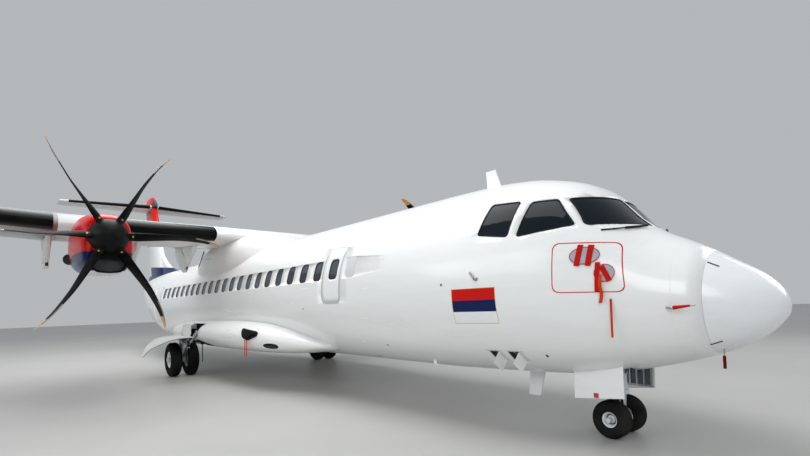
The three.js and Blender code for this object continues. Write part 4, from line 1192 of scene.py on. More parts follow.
def flap_ring(place):
    start = wing.station(place, FLAP["share"]) + CLEAR
    end = wing.station(place, 1)
    low = wing_side(place, start, -1)
    tall = wing_side(place, start, 1) - low
    lip_end, under = start + FLAP["lip"], FLAP["lip_thick"] + CLEAR
    nose = [
        (start + NOSE_REACH, wing_side(place, start + NOSE_REACH, -1)),
        (start + 0.020, low + 0.12 * tall),
        (start, low + 0.40 * tall),
        (start + 0.012, low + 0.68 * tall),
        (start + 0.045, wing_side(place, start + 0.045, 1) - under),
    ]
    ring = [tuple(p) for p in smooth(nose, 4)]
    ring.append((lip_end - CLEAR, wing_side(place, lip_end - CLEAR, 1) - under))
    top = spaced(lip_end, end, 10)
    ring += [(station, wing_side(place, station, 1)) for station in top]
    back = spaced(end, start + NOSE_REACH, 10)[:-1]
    ring += [(station, wing_side(place, station, -1)) for station in back]
    return wing.put(place, ring)


def flap_room(start_place, end_place, gap):
    """Tool that opens the trailing edge for a flap, under a thin lip of the upper skin."""
    rings = []
    for place in (start_place - gap, end_place + gap):
        start = wing.station(place, FLAP["share"])
        lip_end, far = start + FLAP["lip"], wing.station(place, 1) + 0.3
        top, lip_top = wing_side(place, start, 1), wing_side(place, lip_end, 1)
        ring = [
            (start, top - 0.8),
            (start, top - FLAP["lip_thick"]),
            (lip_end, lip_top - FLAP["lip_thick"]),
            (lip_end, lip_top + 0.5),
            (far, lip_top + 0.5),
            (far, top - 0.8),
        ]
        rings.append(wing.put(place, ring))
    return loft(rings)


print("points round a flap", len(flap_ring(2)))

# %% Wings
inboard_room, outboard_room = (flap_room(*FLAPS[name]) for name in ("inboard", "outboard"))
center = mesh_from("wing_center_skin", [panel(wing, [-WING_JOIN, WING_JOIN])])
center = carve(center, [inboard_room, mirrored(inboard_room)])
piece(
    "wing_center_skin", center, fairing_white, slot="wing_paint", sharp=180, replaces=("wing_center",)
)

outer_rings = [full_ring(wing, place) for place in (WING_JOIN + SEAT, 9.0)]
outer_rings += [full_ring(wing, place, slim) for place, slim in tip_places(13.330, WING_TIP)]
outer_tools = [outboard_room, pocket(wing, AILERON)]
carved_pair("wing_skin", loft(outer_rings), outer_tools, wing_grey, "wing_paint", "wing")
print("wing rings", len(outer_rings))

# %% Flaps and ailerons
for name, (start, end, gap) in FLAPS.items():
    flap = loft([flap_ring(place) for place in spaced(start, end, 6)])
    body = f"flap_{name}_left"
    pair(f"flap_{name}_skin", [flap], wing_grey, body, (body,), slot="wing_paint")
ends = (AILERON["from"], 11.2, AILERON["to"])
aileron = loft([control_ring(wing, place, AILERON["share"]) for place in ends])
pair("aileron_skin", [aileron], wing_grey, "aileron_left", ("aileron_left",), slot="wing_paint")

# %% Tail surfaces
tail_places = tip_places(3.560, 3.655)
tail_rings = [full_ring(stabiliser, -place, slim) for place, slim in reversed(tail_places)]
tail_rings.append(full_ring(stabiliser, 0))
tail_rings += [full_ring(stabiliser, place, slim) for place, slim in tail_places]
room = pocket(stabiliser, ELEVATOR)
tailplane = carve(mesh_from("stabiliser_skin", [loft(tail_rings)]), [room, mirrored(room)])
piece(
    "stabiliser_skin", tailplane, fairing_white, slot="tail_paint", sharp=180, replaces=("stabiliser",)
)
ends = (ELEVATOR["from"], 1.8, ELEVATOR["to"])
elevator = loft([control_ring(stabiliser, place, ELEVATOR["share"]) for place in ends])
body = "elevator_left"
pair("elevator_skin", [elevator], fairing_white, body, (body,), slot="tail_paint")

fin_mesh = mesh_from("fin_skin", [panel(fin, [FIN[0][0], FIN[1][0], 5.0, FIN[2][0]])])
fin_mesh = carve(fin_mesh, [pocket(fin, RUDDER)])
# The tail is blue low down, white above a slanted edge, and red behind and over the wing's height
TAIL_SLOPE, BLUE_TOP, RED_FROM = 0.0788, 2.963, 4.000
fin_paint = banded_paint(
    "fin_livery_gloss", [(0, BLUE), (BLUE_TOP, WHITE), (RED_FROM, RED)], slope=TAIL_SLOPE
)
rudder_paint = banded_paint("rudder_livery_gloss", [(0, WHITE), (RED_FROM, RED)], slope=TAIL_SLOPE)
cap_paint = banded_paint("fin_cap_gloss", [(-20, RED), (X(25.16), "3d4146")], axis="X")
piece("fin_skin", fin_mesh, fin_paint, slot="tail_paint", sharp=180, replaces=("fin",))
ends = (RUDDER["from"], 5.0, RUDDER["to"])
rudder = loft([control_ring(fin, place, RUDDER["share"]) for place in ends])
piece("rudder_skin", [rudder], rudder_paint, "rudder", slot="tail_paint", replaces=("rudder",))
print("fin faces", len(fin_mesh.polygons))

# %% Dorsal fin and the cap on top
# Dorsal fin: station, top, half width at the top, half width at the base
DORSAL = [
    (19.200, 3.340, 0.030, 0.060),
    (21.200, 3.480, 0.060, 0.130),
    (22.700, 3.900, 0.090, 0.180),
    (24.000, 4.720, 0.060, 0.150),
]
# Cap: station, half width, base, top
FIN_CAP = [
    (24.760, 0.020, 6.850, 6.900),
    (24.900, 0.090, 6.850, 7.060),
    (25.120, 0.130, 6.850, 7.230),
    (25.500, 0.150, 6.900, 7.440),
    (26.200, 0.140, 6.900, 7.500),
    (26.800, 0.080, 6.900, 7.300),
    (27.100, 0.020, 6.900, 7.000),
]


def even(rows, count):
    """Evenly spaced places from the first row of a table to the last."""
    return spaced(rows[0][0], rows[-1][0], count)


CREST, DORSAL_FOOT = 0.06, 3.02


def dorsal_ring(station):
    top, thin, wide = read(DORSAL, station)
    side = [(thin * math.sin(a), top - CREST * (1 - math.cos(a))) for a in arc(0, 90, 5)]
    drop = top - DORSAL_FOOT
    side += [(thin + (wide - thin) * t * t, top - CREST - drop * t) for t in (0.25, 0.5, 0.75, 1)]
    ring = side + [(-y, z) for y, z in reversed(side[1:])]
    return [(X(station), y, z) for y, z in ring]


def cap_ring(station):
    wide, base, top = read(FIN_CAP, station)
    tall = top - base
    return [(X(station), wide * math.cos(a), base + tall * math.sin(a)) for a in arc(0, 180, 20)]


dorsal = loft([dorsal_ring(station) for station in even(DORSAL, 24)])
piece("dorsal_fin", [dorsal], fin_paint, slot="tail_paint")
cap = loft([cap_ring(station) for station in even(FIN_CAP, 30)])
piece("fin_cap_shell", [cap], cap_paint, slot="tail_paint", replaces=("fin_cap",))
print("top of the tail", max(row[3] for row in FIN_CAP), "m")

# %% [markdown]
# ## Rubber boots on the leading edges
# Ice is shed by boots, long rubber sheets that pump up. They are glued over the metal edge, so
# they stand a millimetre or two proud, and their air tubes run along the span. Each boot is a thin
# sheet on the same curve as the wing. Every second row of points is lifted a little: that gives
# the long fine highlights of the tubes.

# %% Boots
BOOT_RISE, TUBE_RISE, TUBES = 0.002, 0.0015, 12


def boot(span, start, end, top_share, low_share, pieces=6):
    """Sheet over the leading edge between two places, with its tubes as ridges."""
    high, low = math.sqrt(top_share), -math.sqrt(low_share)
    rings = []
    for k in range(pieces + 1):
        place = start + (end - start) * k / pieces
        outer, inner = [], []
        for j in range(TUBES * 2 + 1):
            u = low + (high - low) * j / (TUBES * 2)
            edge = j in (0, TUBES * 2)
            lift = 0.0005 if edge else BOOT_RISE + (TUBE_RISE if j % 2 else 0)
            outer.append(span.lay(place, u, lift))
            inner.append(span.lay(place, u, -0.002))
        rings.append(outer + inner[::-1])
    return loft(rings)


WING_BOOTS = [(1.584, 3.660), (4.733, 8.960), (8.975, 13.250)]
boots = [boot(wing, start, end, 0.11, 0.10) for start, end in WING_BOOTS]
pair("wing_boots", boots[1:], boot_rubber, slot="wing_paint", sharp=60)
pair("wing_boot_inner", boots[:1], boot_rubber, slot="wing_paint", sharp=60)
tail_boot = boot(stabiliser, 0.18, 3.30, 0.09, 0.09)
pair("stabiliser_boot", [tail_boot], boot_rubber, slot="tail_paint", sharp=60)
print("boots", len(boots) * 2 + 2)

# %% [markdown]
# ## Fairings
# Where wing and landing gear meet the round body, thin composite shells smooth the corner. Both are
# lofts of squarish ovals, sunk a little into the body, as the real ones are screwed over it.

# %% Wing fairing and gear fairings
# Wing fairing: station, half width, top. Gear fairing: station, outer side, top, bottom.
WING_FAIRING = [
    (9.900, 0.380, 3.370),
    (10.40, 0.900, 3.500),
    (11.00, 1.190, 3.660),
    (11.60, 1.290, 3.760),
    (12.90, 1.290, 3.700),
    (13.77, 1.240, 3.600),
    (14.60, 1.060, 3.500),
    (15.50, 0.760, 3.410),
    (16.10, 0.380, 3.360),
]
GEAR_FAIRING = [
    (6.750, 1.160, 1.000, 0.860),
    (7.300, 1.370, 1.130, 0.780),
    (8.000, 1.600, 1.270, 0.740),
    (9.000, 1.810, 1.370, 0.725),
    (10.50, 1.900, 1.410, 0.720),
    (13.30, 1.900, 1.400, 0.730),
    (14.60, 1.740, 1.330, 0.780),
    (15.70, 1.470, 1.220, 0.860),
    (16.50, 1.180, 1.100, 0.930),
]
WING_FAIRING_BASE, GEAR_FAIRING_ROOT, FAIRING_POWER = 2.250, 0.500, 2.3
GEAR_BAY = {"from": 11.950, "to": 13.100, "inner": 1.150, "roof": 1.180}


def oval(station, centre, width, tall, power, sides=64):
    """Squarish oval across the X axis."""
    spots = [squarish(angle, power) for angle in full_turn(sides)]
    return [(X(station), centre[0] + width * y, centre[1] + tall * z) for y, z in spots]


def wing_fairing_ring(station):
    width, top = read(WING_FAIRING, station)
    tall = (top - WING_FAIRING_BASE) / 2
    return oval(station, (0, WING_FAIRING_BASE + tall), width, tall, 2.6)


def gear_fairing_ring(station):
    outer, top, bottom = read(GEAR_FAIRING, station)
    width, tall = (outer - GEAR_FAIRING_ROOT) / 2, (top - bottom) / 2
    return oval(station, (GEAR_FAIRING_ROOT + width, bottom + tall), width, tall, FAIRING_POWER)


saddle = loft([wing_fairing_ring(station) for station in even(WING_FAIRING, 50)])
piece("wing_fairing_shell", [saddle], fairing_white, replaces=("wing_fairing",))

sponson = loft([gear_fairing_ring(station) for station in even(GEAR_FAIRING, 70)])
b = GEAR_BAY
bay_tool = block((X(b["to"]), b["inner"], 0), (X(b["from"]), 3.0, b["roof"]))
SIDE_ROOM = {"from": 11.720, "to": 12.760, "inner": 1.620, "low": 0.990, "high": 1.330}
r = SIDE_ROOM
side_tool = block((X(r["to"]), r["inner"], r["low"]), (X(r["from"]), 3.0, r["high"]))
# In front of the room the lower edge is cut away at a slant: corners of station and height
LOW_EDGE = [(11.960, 0.985), (11.960, 0.600), (10.500, 0.600), (10.500, 0.720)]
edge_tool = loft([[(X(station), y, z) for station, z in LOW_EDGE] for y in (r["inner"], 3.0)])
gear_tools = [bay_tool, side_tool, edge_tool]
carved_pair("gear_fairing_shell", sponson, gear_tools, fairing_white, "body_paint", "gear_fairing")

# %% [markdown]
# ## Nacelles and propellers
# Each engine sits in a slim squarish cowling with an air intake under the propeller. The paint
# runs in three bands, red over blue over white, parted by height, so one material can hold all
# three. A parked propeller is feathered: the blades stand edge on to the air, and from ahead they
# look thin.

# %% Nacelle
# Nacelle: station, half width, top, bottom
NACELLE = [
    (9.450, 0.330, 3.415, 2.455),
    (9.470, 0.360, 3.450, 2.430),
    (9.520, 0.385, 3.480, 2.410),
    (9.620, 0.405, 3.520, 2.385),
    (9.900, 0.437, 3.580, 2.385),
    (10.20, 0.458, 3.620, 2.400),
    (10.60, 0.458, 3.660, 2.430),
    (11.17, 0.430, 3.690, 2.470),
    (11.80, 0.392, 3.690, 2.530),
    (12.50, 0.345, 3.650, 2.640),
    (13.20, 0.285, 3.570, 2.830),
    (13.90, 0.190, 3.460, 3.060),
    (14.35, 0.060, 3.360, 3.240),
]
NACELLE_POWER = 2.8
PROPELLER = {"station": 9.298, "side": 4.050, "height": 3.085, "blades": 6, "turn": 32}
BLUE_FROM, RED_ABOVE = 2.455, 2.800
bands = [(0, WHITE), (BLUE_FROM, BLUE), (RED_ABOVE, RED)]
nacelle_paint = banded_paint("nacelle_three_band_gloss", bands)


def nacelle_ring(station):
    width, top, bottom = read(NACELLE, station)
    tall = (top - bottom) / 2
    return oval(station, (PROPELLER["side"], bottom + tall), width, tall, NACELLE_POWER)


stations = [9.45, 9.458, 9.47, 9.49, 9.52, 9.56, 9.62, 9.7, 9.8, 9.9]
stations += [10.0 + 0.15 * k for k in range(29)] + [14.35]
cowling = loft([nacelle_ring(station) for station in stations])

# The intake is a wide mouth with a flat top and a round chin
MOUTH = [
    (-0.275, 2.70), (0.275, 2.70), (0.285, 2.60), (0.20, 2.455),
    (0, 2.432), (-0.20, 2.455), (-0.285, 2.60),
]


def mouth_loop(grow=0.0):
    loop = outline(MOUTH, 0.05, grow, step=0.04)
    return [(PROPELLER["side"] + spot.x, spot.y) for spot in loop]


def mouth_ring(station, grow=0.0):
    return [(X(station), y, z) for y, z in mouth_loop(grow)]


mouth_tool = loft([mouth_ring(station) for station in (9.40, 9.60)])
carved_pair("cowling", cowling, [mouth_tool], nacelle_paint, "nacelle_paint", "nacelle")
print("cowling rings", len(stations))

# %% Intake boot, and painted shade in the throat
# Lip: station, and how far the ring stands out from the mouth
LIP = [(9.47, 0.03), (9.445, 0.028), (9.437, 0.014), (9.445, 0.0), (9.50, -0.004)]
intake_boot = loft([mouth_ring(station, grow) for station, grow in LIP], caps=False)
# A dark plate at the back of the cut mouth is painted shade: the shade deep inside the duct
throat_shade = loft([mouth_ring(station, -0.006) for station in (9.585, 9.598)])
BULKHEAD = [(0, 0), (0.300, 0), (0.318, 0.006), (0.318, 0.02), (0, 0.02)]
face = revolve(BULKHEAD, 48, (X(9.462), PROPELLER["side"], PROPELLER["height"]), "X")
pair("intake_boot", [intake_boot], cover_black, slot="nacelle_paint")
pair("intake_throat_painted_shade", [throat_shade], dark_grey_and_painted_shade, slot="nacelle_paint")
pair("hub_bulkhead", [face], cover_black, slot="nacelle_paint")
CHIN = [(-0.300, 2.660), (0.300, 2.660), (0.255, 2.830), (-0.255, 2.830)]
chin_loop = [(PROPELLER["side"] + spot.x, spot.y) for spot in outline(CHIN, 0.05)]
chin = [[(X(station), y, z) for y, z in chin_loop] for station in (9.4458, 9.4515)]
pair("intake_chin_plate", [loft(chin)], cover_black, slot="nacelle_paint")
print("points round the intake", len(mouth_loop()))

# %% Propeller blades, cuffs and spinner
# Blade: radius, chord, thickness, middle of the chord ahead of the hub, twist, sideways bow
BLADE = [
    (0.180, 0.170, 0.120, 0.000, 40, 0.000),
    (0.400, 0.215, 0.090, 0.010, 37, 0.010),
    (0.600, 0.250, 0.062, 0.024, 27, 0.026),
    (0.800, 0.285, 0.044, 0.032, 19, 0.044),
    (1.200, 0.305, 0.028, 0.030, 11, 0.070),
    (1.550, 0.270, 0.018, -0.020, 7, 0.062),
    (1.800, 0.205, 0.012, -0.095, 5, 0.032),
    (1.920, 0.140, 0.009, -0.155, 4, 0.011),
    (1.965, 0.060, 0.006, -0.200, 3, 0.000),
]
SPINNER = {"back": 9.440, "radius": 0.315, "tip": 9.000}
EDGE_FROM, TIP_FROM, CUFF_SWELL = 1.415, 1.730, 1.12
BLADE_OUTLINE = [
    (0.5, 0), (0.46, 0.2), (0.36, 0.38), (0.2, 0.5), (0, 0.48), (-0.2, 0.4), (-0.36, 0.24), (-0.5, 0.04),
    (-0.48, -0.03), (-0.36, -0.14), (-0.2, -0.26), (0, -0.33), (0.25, -0.36), (0.4, -0.24), (0.48, -0.12),
]


def blade_ring(radius, low=-0.5, swell=1.0):
    chord, thick, ahead_of, twist, bow = read(BLADE, radius)
    turn = math.radians(twist)
    ring = []
    for along, across in BLADE_OUTLINE:
        along = max(along, low)
        forward = along * chord * math.cos(turn) - across * thick * swell * math.sin(turn)
        side = along * chord * math.sin(turn) + across * thick * swell * math.cos(turn)
        ring.append(Vector((ahead_of + forward, bow + side, radius)))
    return ring


def blade_part(start, end, steps, low=-0.5, swell=1.0):
    return loft([blade_ring(radius, low, swell) for radius in spaced(start, end, steps)])


def six_times(shape):
    """A shape of one upright blade, at all six places of the port propeller."""
    points, faces = shape
    hub = Vector((X(PROPELLER["station"]), PROPELLER["side"], PROPELLER["height"]))
    copies = []
    for k in range(PROPELLER["blades"]):
        turn = Matrix.Rotation(math.radians(PROPELLER["turn"] + 60 * k), 3, "X")
        copies.append(([turn @ Vector(p) + hub for p in points], faces))
    return copies


# Carbon composite under a satin black coat, and an amber coat on the tips
satin = {"grime": 0.02, "wave": 0.0004, "shine": 0.05}
blade_black = gloss_paint("composite_blade_black", "08090a", roughness=0.45, **satin)
tip_yellow = gloss_paint("blade_tip_amber", "d39a3c", roughness=0.4, grime=0.1, wave=0.0004)
satin = {"grime": 0.02, "wave": 0.0006, "shine": 0.12}
spinner_black = gloss_paint("spinner_satin_black", "0a0b0c", roughness=0.42, **satin)

blades = six_times(blade_part(0.22, TIP_FROM, 24))
tips = six_times(blade_part(TIP_FROM, BLADE[-1][0], 12))
edges = six_times(blade_part(EDGE_FROM, TIP_FROM + 0.1, 10, low=0.36, swell=1.25))
cuffs = six_times(blade_part(0.20, 0.37, 4, swell=CUFF_SWELL))
# The bolt of each cuff stands on the face that looks forwards, and the face is twisted there
BOLT = {"at": 0.345, "twist": math.radians(38), "rise": 0.012, "sunk": 0.010, "radius": 0.015}
face_at = blade_ring(BOLT["at"], swell=CUFF_SWELL)[BLADE_OUTLINE.index((0.25, -0.36))]
face_out = Vector((math.sin(BOLT["twist"]), -math.cos(BOLT["twist"]), 0))
bolt_ends = face_at - face_out * BOLT["sunk"], face_at + face_out * BOLT["rise"]
dots = six_times(rod(*bolt_ends, BOLT["radius"], 16))

long = SPINNER["back"] - SPINNER["tip"]
profile = [(0, 0)]
for k in range(25):
    share = math.sin(math.pi / 2 * k / 25)
    profile.append((SPINNER["radius"] * math.sqrt(1 - share**2.2), share * long))
profile.append((0, long))
dome = revolve(profile, 64, (X(SPINNER["back"]), PROPELLER["side"], PROPELLER["height"]), "X")

for name, shapes, material in (
    ("blades", blades, blade_black),
    ("blade_tips", tips, tip_yellow),
    ("blade_edges", edges, nickel_edge),
    ("blade_cuffs", cuffs, spinner_black),
    ("blade_root_bolts", dots, flag_gold),
):
    pair(name, shapes, material, "propeller_left", slot="propeller_black")
body = "propeller_left"
pair("spinner", [dome], spinner_black, body, (body,), slot="propeller_black")

# %% [markdown]
# ## Landing gear
# The wheels turn on short axles. A tyre is a body of revolution: rounded walls, a flat tread and a
# few straight grooves, which on aircraft tyres only run round. The rims are cast in two halves that
# are bolted together, so a ring of bolt heads belongs on each.

# %% Wheels
NOSE_GEAR = {
    "station": 1.749, "pivot": 1.700, "side": 0.200, "radius": 0.225, "width": 0.190, "axle": 0.030,
    "rim": 0.40,
}
MAIN_GEAR = {
    "station": 12.521, "side": 2.050, "spread": 0.200, "radius": 0.432, "width": 0.254, "axle": 0.055,
    "rim": 0.47,
}


def tyre_profile(gear, grooves=4):
    inner, outer, half = gear["rim"] * gear["radius"], gear["radius"], gear["width"] / 2
    wall = [
        (0, 0.70), (0.06, 0.80), (0.2, 0.93), (0.35, 0.985), (0.5, 1.0), (0.65, 0.97), (0.8, 0.87),
        (0.9, 0.74), (0.96, 0.62),
    ]
    side = [(inner + rise * (outer - inner), share) for rise, share in wall]
    side += [(outer - 0.002, 0.52), (outer, 0.44)]
    profile = [(radius, -share * half) for radius, share in side]
    pitch, depth = 0.76 / grooves, 0.006
    for k in range(grooves):
        centre = -0.38 + pitch * (k + 0.5)
        for at, drop in ((-0.035, 0), (-0.02, depth), (0.02, depth), (0.035, 0)):
            profile.append((outer - drop, (centre + at) * half))
    profile += [(radius, share * half) for radius, share in reversed(side)]
    return profile + [(inner, -0.70 * half)]


def rim_profile(gear):
    outer, half = gear["rim"] * gear["radius"] - 0.0005, gear["width"] / 2
    bore = gear["axle"] + 0.0003
    boss = bore + 0.12 * (outer - bore)
    side = [
        (bore, 0.60), (boss, 0.58), (boss + 0.002, 0.30), (0.55 * outer, 0.18),
        (0.72 * outer, 0.18), (0.80 * outer, 0.36), (0.87 * outer, 0.66), (outer, 0.74),
    ]
    profile = [(radius, -share * half) for radius, share in side]
    profile += [(radius, share * half) for radius, share in reversed(side)]
    return profile + [(bore, -0.60 * half)]


def ring_of(shape_at, count, radius, place, phase=0.0):
    """Shapes round an axle along Y."""
    turns = [a + phase for a in full_turn(count)]
    x, y, z = place
    return [shape_at(Vector((x + radius * math.cos(a), y, z + radius * math.sin(a)))) for a in turns]


RIM_FLOOR, CAP_AT = 0.18, 0.6


def wheel_shapes(gear, y):
    """Tyre, rim, and the bolt heads with the axle's cap."""
    place = (X(gear["station"]), y, gear["radius"])
    tyre = revolve_open(tyre_profile(gear), 72, place)
    rim = revolve_open(rim_profile(gear), 48, place)
    half, outer, axle = gear["width"] / 2, gear["rim"] * gear["radius"], gear["axle"]
    bolts = []
    for side in (-1, 1):
        head = Vector((0, side * 0.012, 0))
        face = (place[0], y + side * RIM_FLOOR * half, place[2])
        bolts += ring_of(lambda p, head=head: rod(p, p + head, 0.05 * outer, 6), 10, 0.64 * outer, face)
    cap = [(0, 0), (1.12, 0), (1.08, 0.012), (0.8, 0.013), (0.75, 0.004), (0, 0.004)]
    cap = [(share * axle, height) for share, height in cap]
    bolts.append(revolve(cap, 32, (place[0], y + CAP_AT * half, place[2])))
    return tyre, rim, bolts


def hub_shadows(gear, y):
    """Painted shade: a dark ring in the hollow of the rim, and a dark disc over the bore of the cap."""
    half, outer, axle = gear["width"] / 2, gear["rim"] * gear["radius"], gear["axle"]
    x, z = X(gear["station"]), gear["radius"]
    low, high = RIM_FLOOR * half - 0.002, RIM_FLOOR * half + 0.003
    inner, wide = axle + 0.14 * (outer - axle), 0.71 * outer
    ring = [(inner, low), (wide, low), (wide, high), (inner, high), (inner, low)]
    cap_at = y + CAP_AT * half
    bore = rod((x, cap_at, z), (x, cap_at + 0.0055, z), axle * 0.72, 24)
    return [revolve_open(ring, 48, (x, y, z)), bore]


def revolve_open(profile, sides, place):
    """Ring-shaped body: the profile is a closed loop that doesn't meet the axis."""
    x, y, z = place
    rings = []
    for a in full_turn(sides):
        c, s = math.cos(a), math.sin(a)
        rings.append([(x + r * c, y + h, z + r * s) for r, h in profile[:-1]])
    points, faces = loft(rings, caps=False)
    count, last = len(rings[0]), (sides - 1) * len(rings[0])
    for j in range(count):
        faces.append((last + j, last + (j + 1) % count, (j + 1) % count, j))
    return points, faces


main_body, side, spread = "main_wheels_left", MAIN_GEAR["side"], MAIN_GEAR["spread"]
for leg, which, gear, y, body in (
    ("nose", "", NOSE_GEAR, NOSE_GEAR["side"], "nose_wheels"),
    ("main", "_inner", MAIN_GEAR, side - spread, main_body),
    ("main", "_outer", MAIN_GEAR, side + spread, main_body),
):
    tyre, rim, bolts = wheel_shapes(gear, y)
    nodes = [(f"{leg}_{part}{which}_left",) for part in ("tyre", "rim")]
    shadows = hub_shadows(gear, y)
    pair(f"{leg}_tyre_rubber{which}", [tyre], tyre_rubber, body, nodes[0], slot="tyre_rubber")
    pair(f"{leg}_rim_disc{which}", [rim], rim_white, body, nodes[1], slot="wheel_paint")
    pair(f"{leg}_rim_bolts{which}", bolts, cast_alloy, body, slot="wheel_paint")
    pair(f"{leg}_hub_shadows{which}", shadows, dark_grey_and_painted_shade, body, slot="wheel_paint")

# %% [markdown]
# ## Flap pods
# The flaps turn about hinges that hang well under the wing, so that they move back as they go down.
# A streamlined pod hides each hinge. Its front half is fixed to the wing, and its back half is fixed
# to the flap and swings with it. The real pods are flat-sided with a rounded rim, so each is drawn
# as an outline of station and height, given a thickness, and its rim is rounded over.


# %% Plates with a rounded rim
def plate(corners, start, end, curve=0.0, radius=0.002):
    """Outline of station and height as a slab along Y. The rim is rounded over by a curve."""
    turns = arc(0, 90, 4) if curve else [math.pi / 2]
    near_side, far_side = [], []
    for turn in turns:
        inset, depth = curve * (1 - math.sin(turn)), curve * (1 - math.cos(turn))
        loop = outline(corners, radius, -inset, step=99)
        near_side.append([(X(spot.x), start + depth, spot.y) for spot in loop])
        far_side.append([(X(spot.x), end - depth, spot.y) for spot in loop])
    return loft(near_side + far_side[::-1])


FLAP_PODS = {"inboard": (1.830, 3.065), "outboard": (4.737, 8.030)}
POD = {
    "inner": -0.030, "outer": 0.080, "disc": 0.260, "cove": 0.274, "front": 1.000, "tail": 0.930,
    "slot": 0.016, "rim": 0.034,
}
ARM = {"thick": 0.024, "gap": 0.006, "pin": 0.014, "boss": 0.022}


def flap_hinge(place):
    share = FLAP["share"]
    return wing.station(place, share) + CLEAR, wing.height(place, share, -1) - FLAP["drop"]


def hinge_stub(start, end, radius):
    """Round stub along the flaps' own axis, which slants along the outer wing."""
    ends = []
    for place in (start, end):
        station, height = flap_hinge(place)
        ends.append((X(station), place, height))
    return rod(*ends, radius, 20)


def arc_about(hinge, radius, degrees):
    turns = [math.radians(angle) for angle in degrees]
    return [(hinge[0] + radius * math.cos(a), hinge[1] + radius * math.sin(a)) for a in turns]


def inside_wing(place, station, depth=0.020):
    return station, wing_side(place, station, -1) + depth


print("flap hinge at the root", [round(part, 3) for part in flap_hinge(FLAP_PODS["inboard"][0])])


# %% Fixed and moving halves of a pod
def fixed_pod(place):
    """Shell under the wing with a hollow end, and the arm with its pin that carries the flap."""
    hinge = station, height = flap_hinge(place)
    shell = arc_about(hinge, POD["cove"], range(205, 97, -9))
    shell += [
        inside_wing(place, station - 2 * CLEAR),
        inside_wing(place, station - 0.6 * POD["front"]),
        inside_wing(place, station - POD["front"]),
        (station - 0.84 * POD["front"], height + 0.196),
        (station - 0.6 * POD["front"], height + 0.100),
    ]
    sides = [
        (-0.020, -0.028), (0.028, -0.014), (0.028, 0.016), (0, 0.034), (-0.120, 0.150),
        (-0.200, 0.262), (-0.330, 0.040),
    ]
    arm = [(station + back, height + rise) for back, rise in sides]
    meet = ARM["thick"] + (ARM["gap"] - SEAT) / 2
    pin = hinge_stub(place + 0.012, place + meet, ARM["pin"])
    return [
        plate(shell, place + POD["inner"], place + POD["outer"], POD["rim"]),
        plate(arm, place, place + ARM["thick"], 0.003),
        pin,
    ]


def moving_pod(place):
    """Round body about the hinge with a tail along the flap, slotted for the arm."""
    hinge = station, height = flap_hinge(place)
    tip = wing.height(place, 1, -1)
    shell = arc_about(hinge, POD["disc"], range(88, 276, 11))
    shell += [
        (station + 0.55 * POD["tail"], height + 0.060),
        (station + POD["tail"], tip - 0.050),
        inside_wing(place, station + 0.75 * POD["tail"], 0.006),
        inside_wing(place, station + 0.4 * POD["tail"]),
        inside_wing(place, station + 0.024, 0.044),
    ]
    slot = block(
        (X(station + 0.050), place - POD["slot"], height - 0.190),
        (X(station - 0.300), place + ARM["thick"] + POD["slot"], height + 0.275),
    )
    body = mesh_from("pod", [plate(shell, place + POD["inner"], place + POD["outer"], POD["rim"])])
    boss_from, boss_to = ARM["thick"] + (ARM["gap"] + SEAT) / 2, (ARM["thick"] + POD["outer"]) / 2
    boss = hinge_stub(place + boss_from, place + boss_to, ARM["boss"])
    return carve(body, [slot]), boss


for name, places in FLAP_PODS.items():
    fixed = [shape for place in places for shape in fixed_pod(place)]
    pair(f"flap_pods_fixed_{name}", fixed, fairing_white, slot="wing_paint")
    for number, place in enumerate(places):
        shell, boss = moving_pod(place)
        points = [tuple(v.co) for v in shell.vertices]
        faces = [tuple(p.vertices) for p in shell.polygons]
        pair(
            f"flap_pod_moving_{name}_{number}", [(points, faces), boss], fairing_white,
            f"flap_{name}_left", slot="wing_paint",
        )
print("flap pods", sum(len(places) for places in FLAP_PODS.values()) * 2)

# %% [markdown]
# ## Exhausts and engines
# The burnt gas leaves through an oval pipe on the outer side of each nacelle. Its steel has been
# hot, so it is dull and brown, and sooty inside. The engine itself is closed in: a plain casing with
# the propeller shaft stands at its real place.

# %% Exhaust pipes and engine casings
# Exhaust: station, distance out, height, half width, half height
EXHAUST = [
    (11.550, 4.300, 2.870, 0.100, 0.120),
    (11.750, 4.360, 2.870, 0.110, 0.122),
    (11.950, 4.420, 2.870, 0.112, 0.120),
]
EXHAUST_WALL = 0.014


def pipe_ring(station, inset):
    y, z, wide, tall = read(EXHAUST, station)
    return oval(station, (y, z), wide - inset, tall - inset, 2, 48)


lip = EXHAUST[-1][0]
outside = [pipe_ring(station, 0) for station in even(EXHAUST, 8)[:-1]] + [pipe_ring(lip - 0.004, 0)]
wall, deep = EXHAUST_WALL, EXHAUST[1][0]
inside = [(lip, 0.004), (lip, wall - 0.004), (lip - 0.004, wall), (deep, wall)]
pipe = loft(outside + [pipe_ring(*row) for row in inside])
pair("exhaust_pipe", [pipe], exhaust_steel, slot="engine_casing", replaces=("exhaust_left",))

ENGINE = {
    "from": 9.620, "to": 11.450, "width": 0.580, "top": 3.280, "bottom": 2.640, "shaft": 0.100
}
e, side, half = ENGINE, PROPELLER["side"], ENGINE["width"] / 2
casing = block((X(e["to"]), side - half, e["bottom"]), (X(e["from"]), side + half, e["top"]), 0.06)
shaft_ends = [(x, side, PROPELLER["height"]) for x in (X(e["from"]) - 0.1, X(SPINNER["back"]) - SEAT)]
shaft = rod(*shaft_ends, e["shaft"], 32)
pair("engine_block", [casing, shaft], cast_alloy, slot="engine_casing", replaces=("engine_left",))
print("engine casing", round(e["to"] - e["from"], 3), "m long")

# %% [markdown]
# ## Nose leg, fork and doors
# The nose leg is an enamelled steel tube that stays in the bay. A chromed piston slides in it and
# carries the fork, so the shine stops at a seal. Behind it, two hinged arms, the torque links, let
# the piston slide but not turn on its own. The bay has two doors that hang open beside the wheels:
# smooth paint outside, and bare frames over primer inside.

# %% Nose leg
leg_at = X(NOSE_GEAR["pivot"])
bay_rear = X(NOSE_BAY["to"]) + SEAT
leg_top = NOSE_BAY["roof"] - SEAT


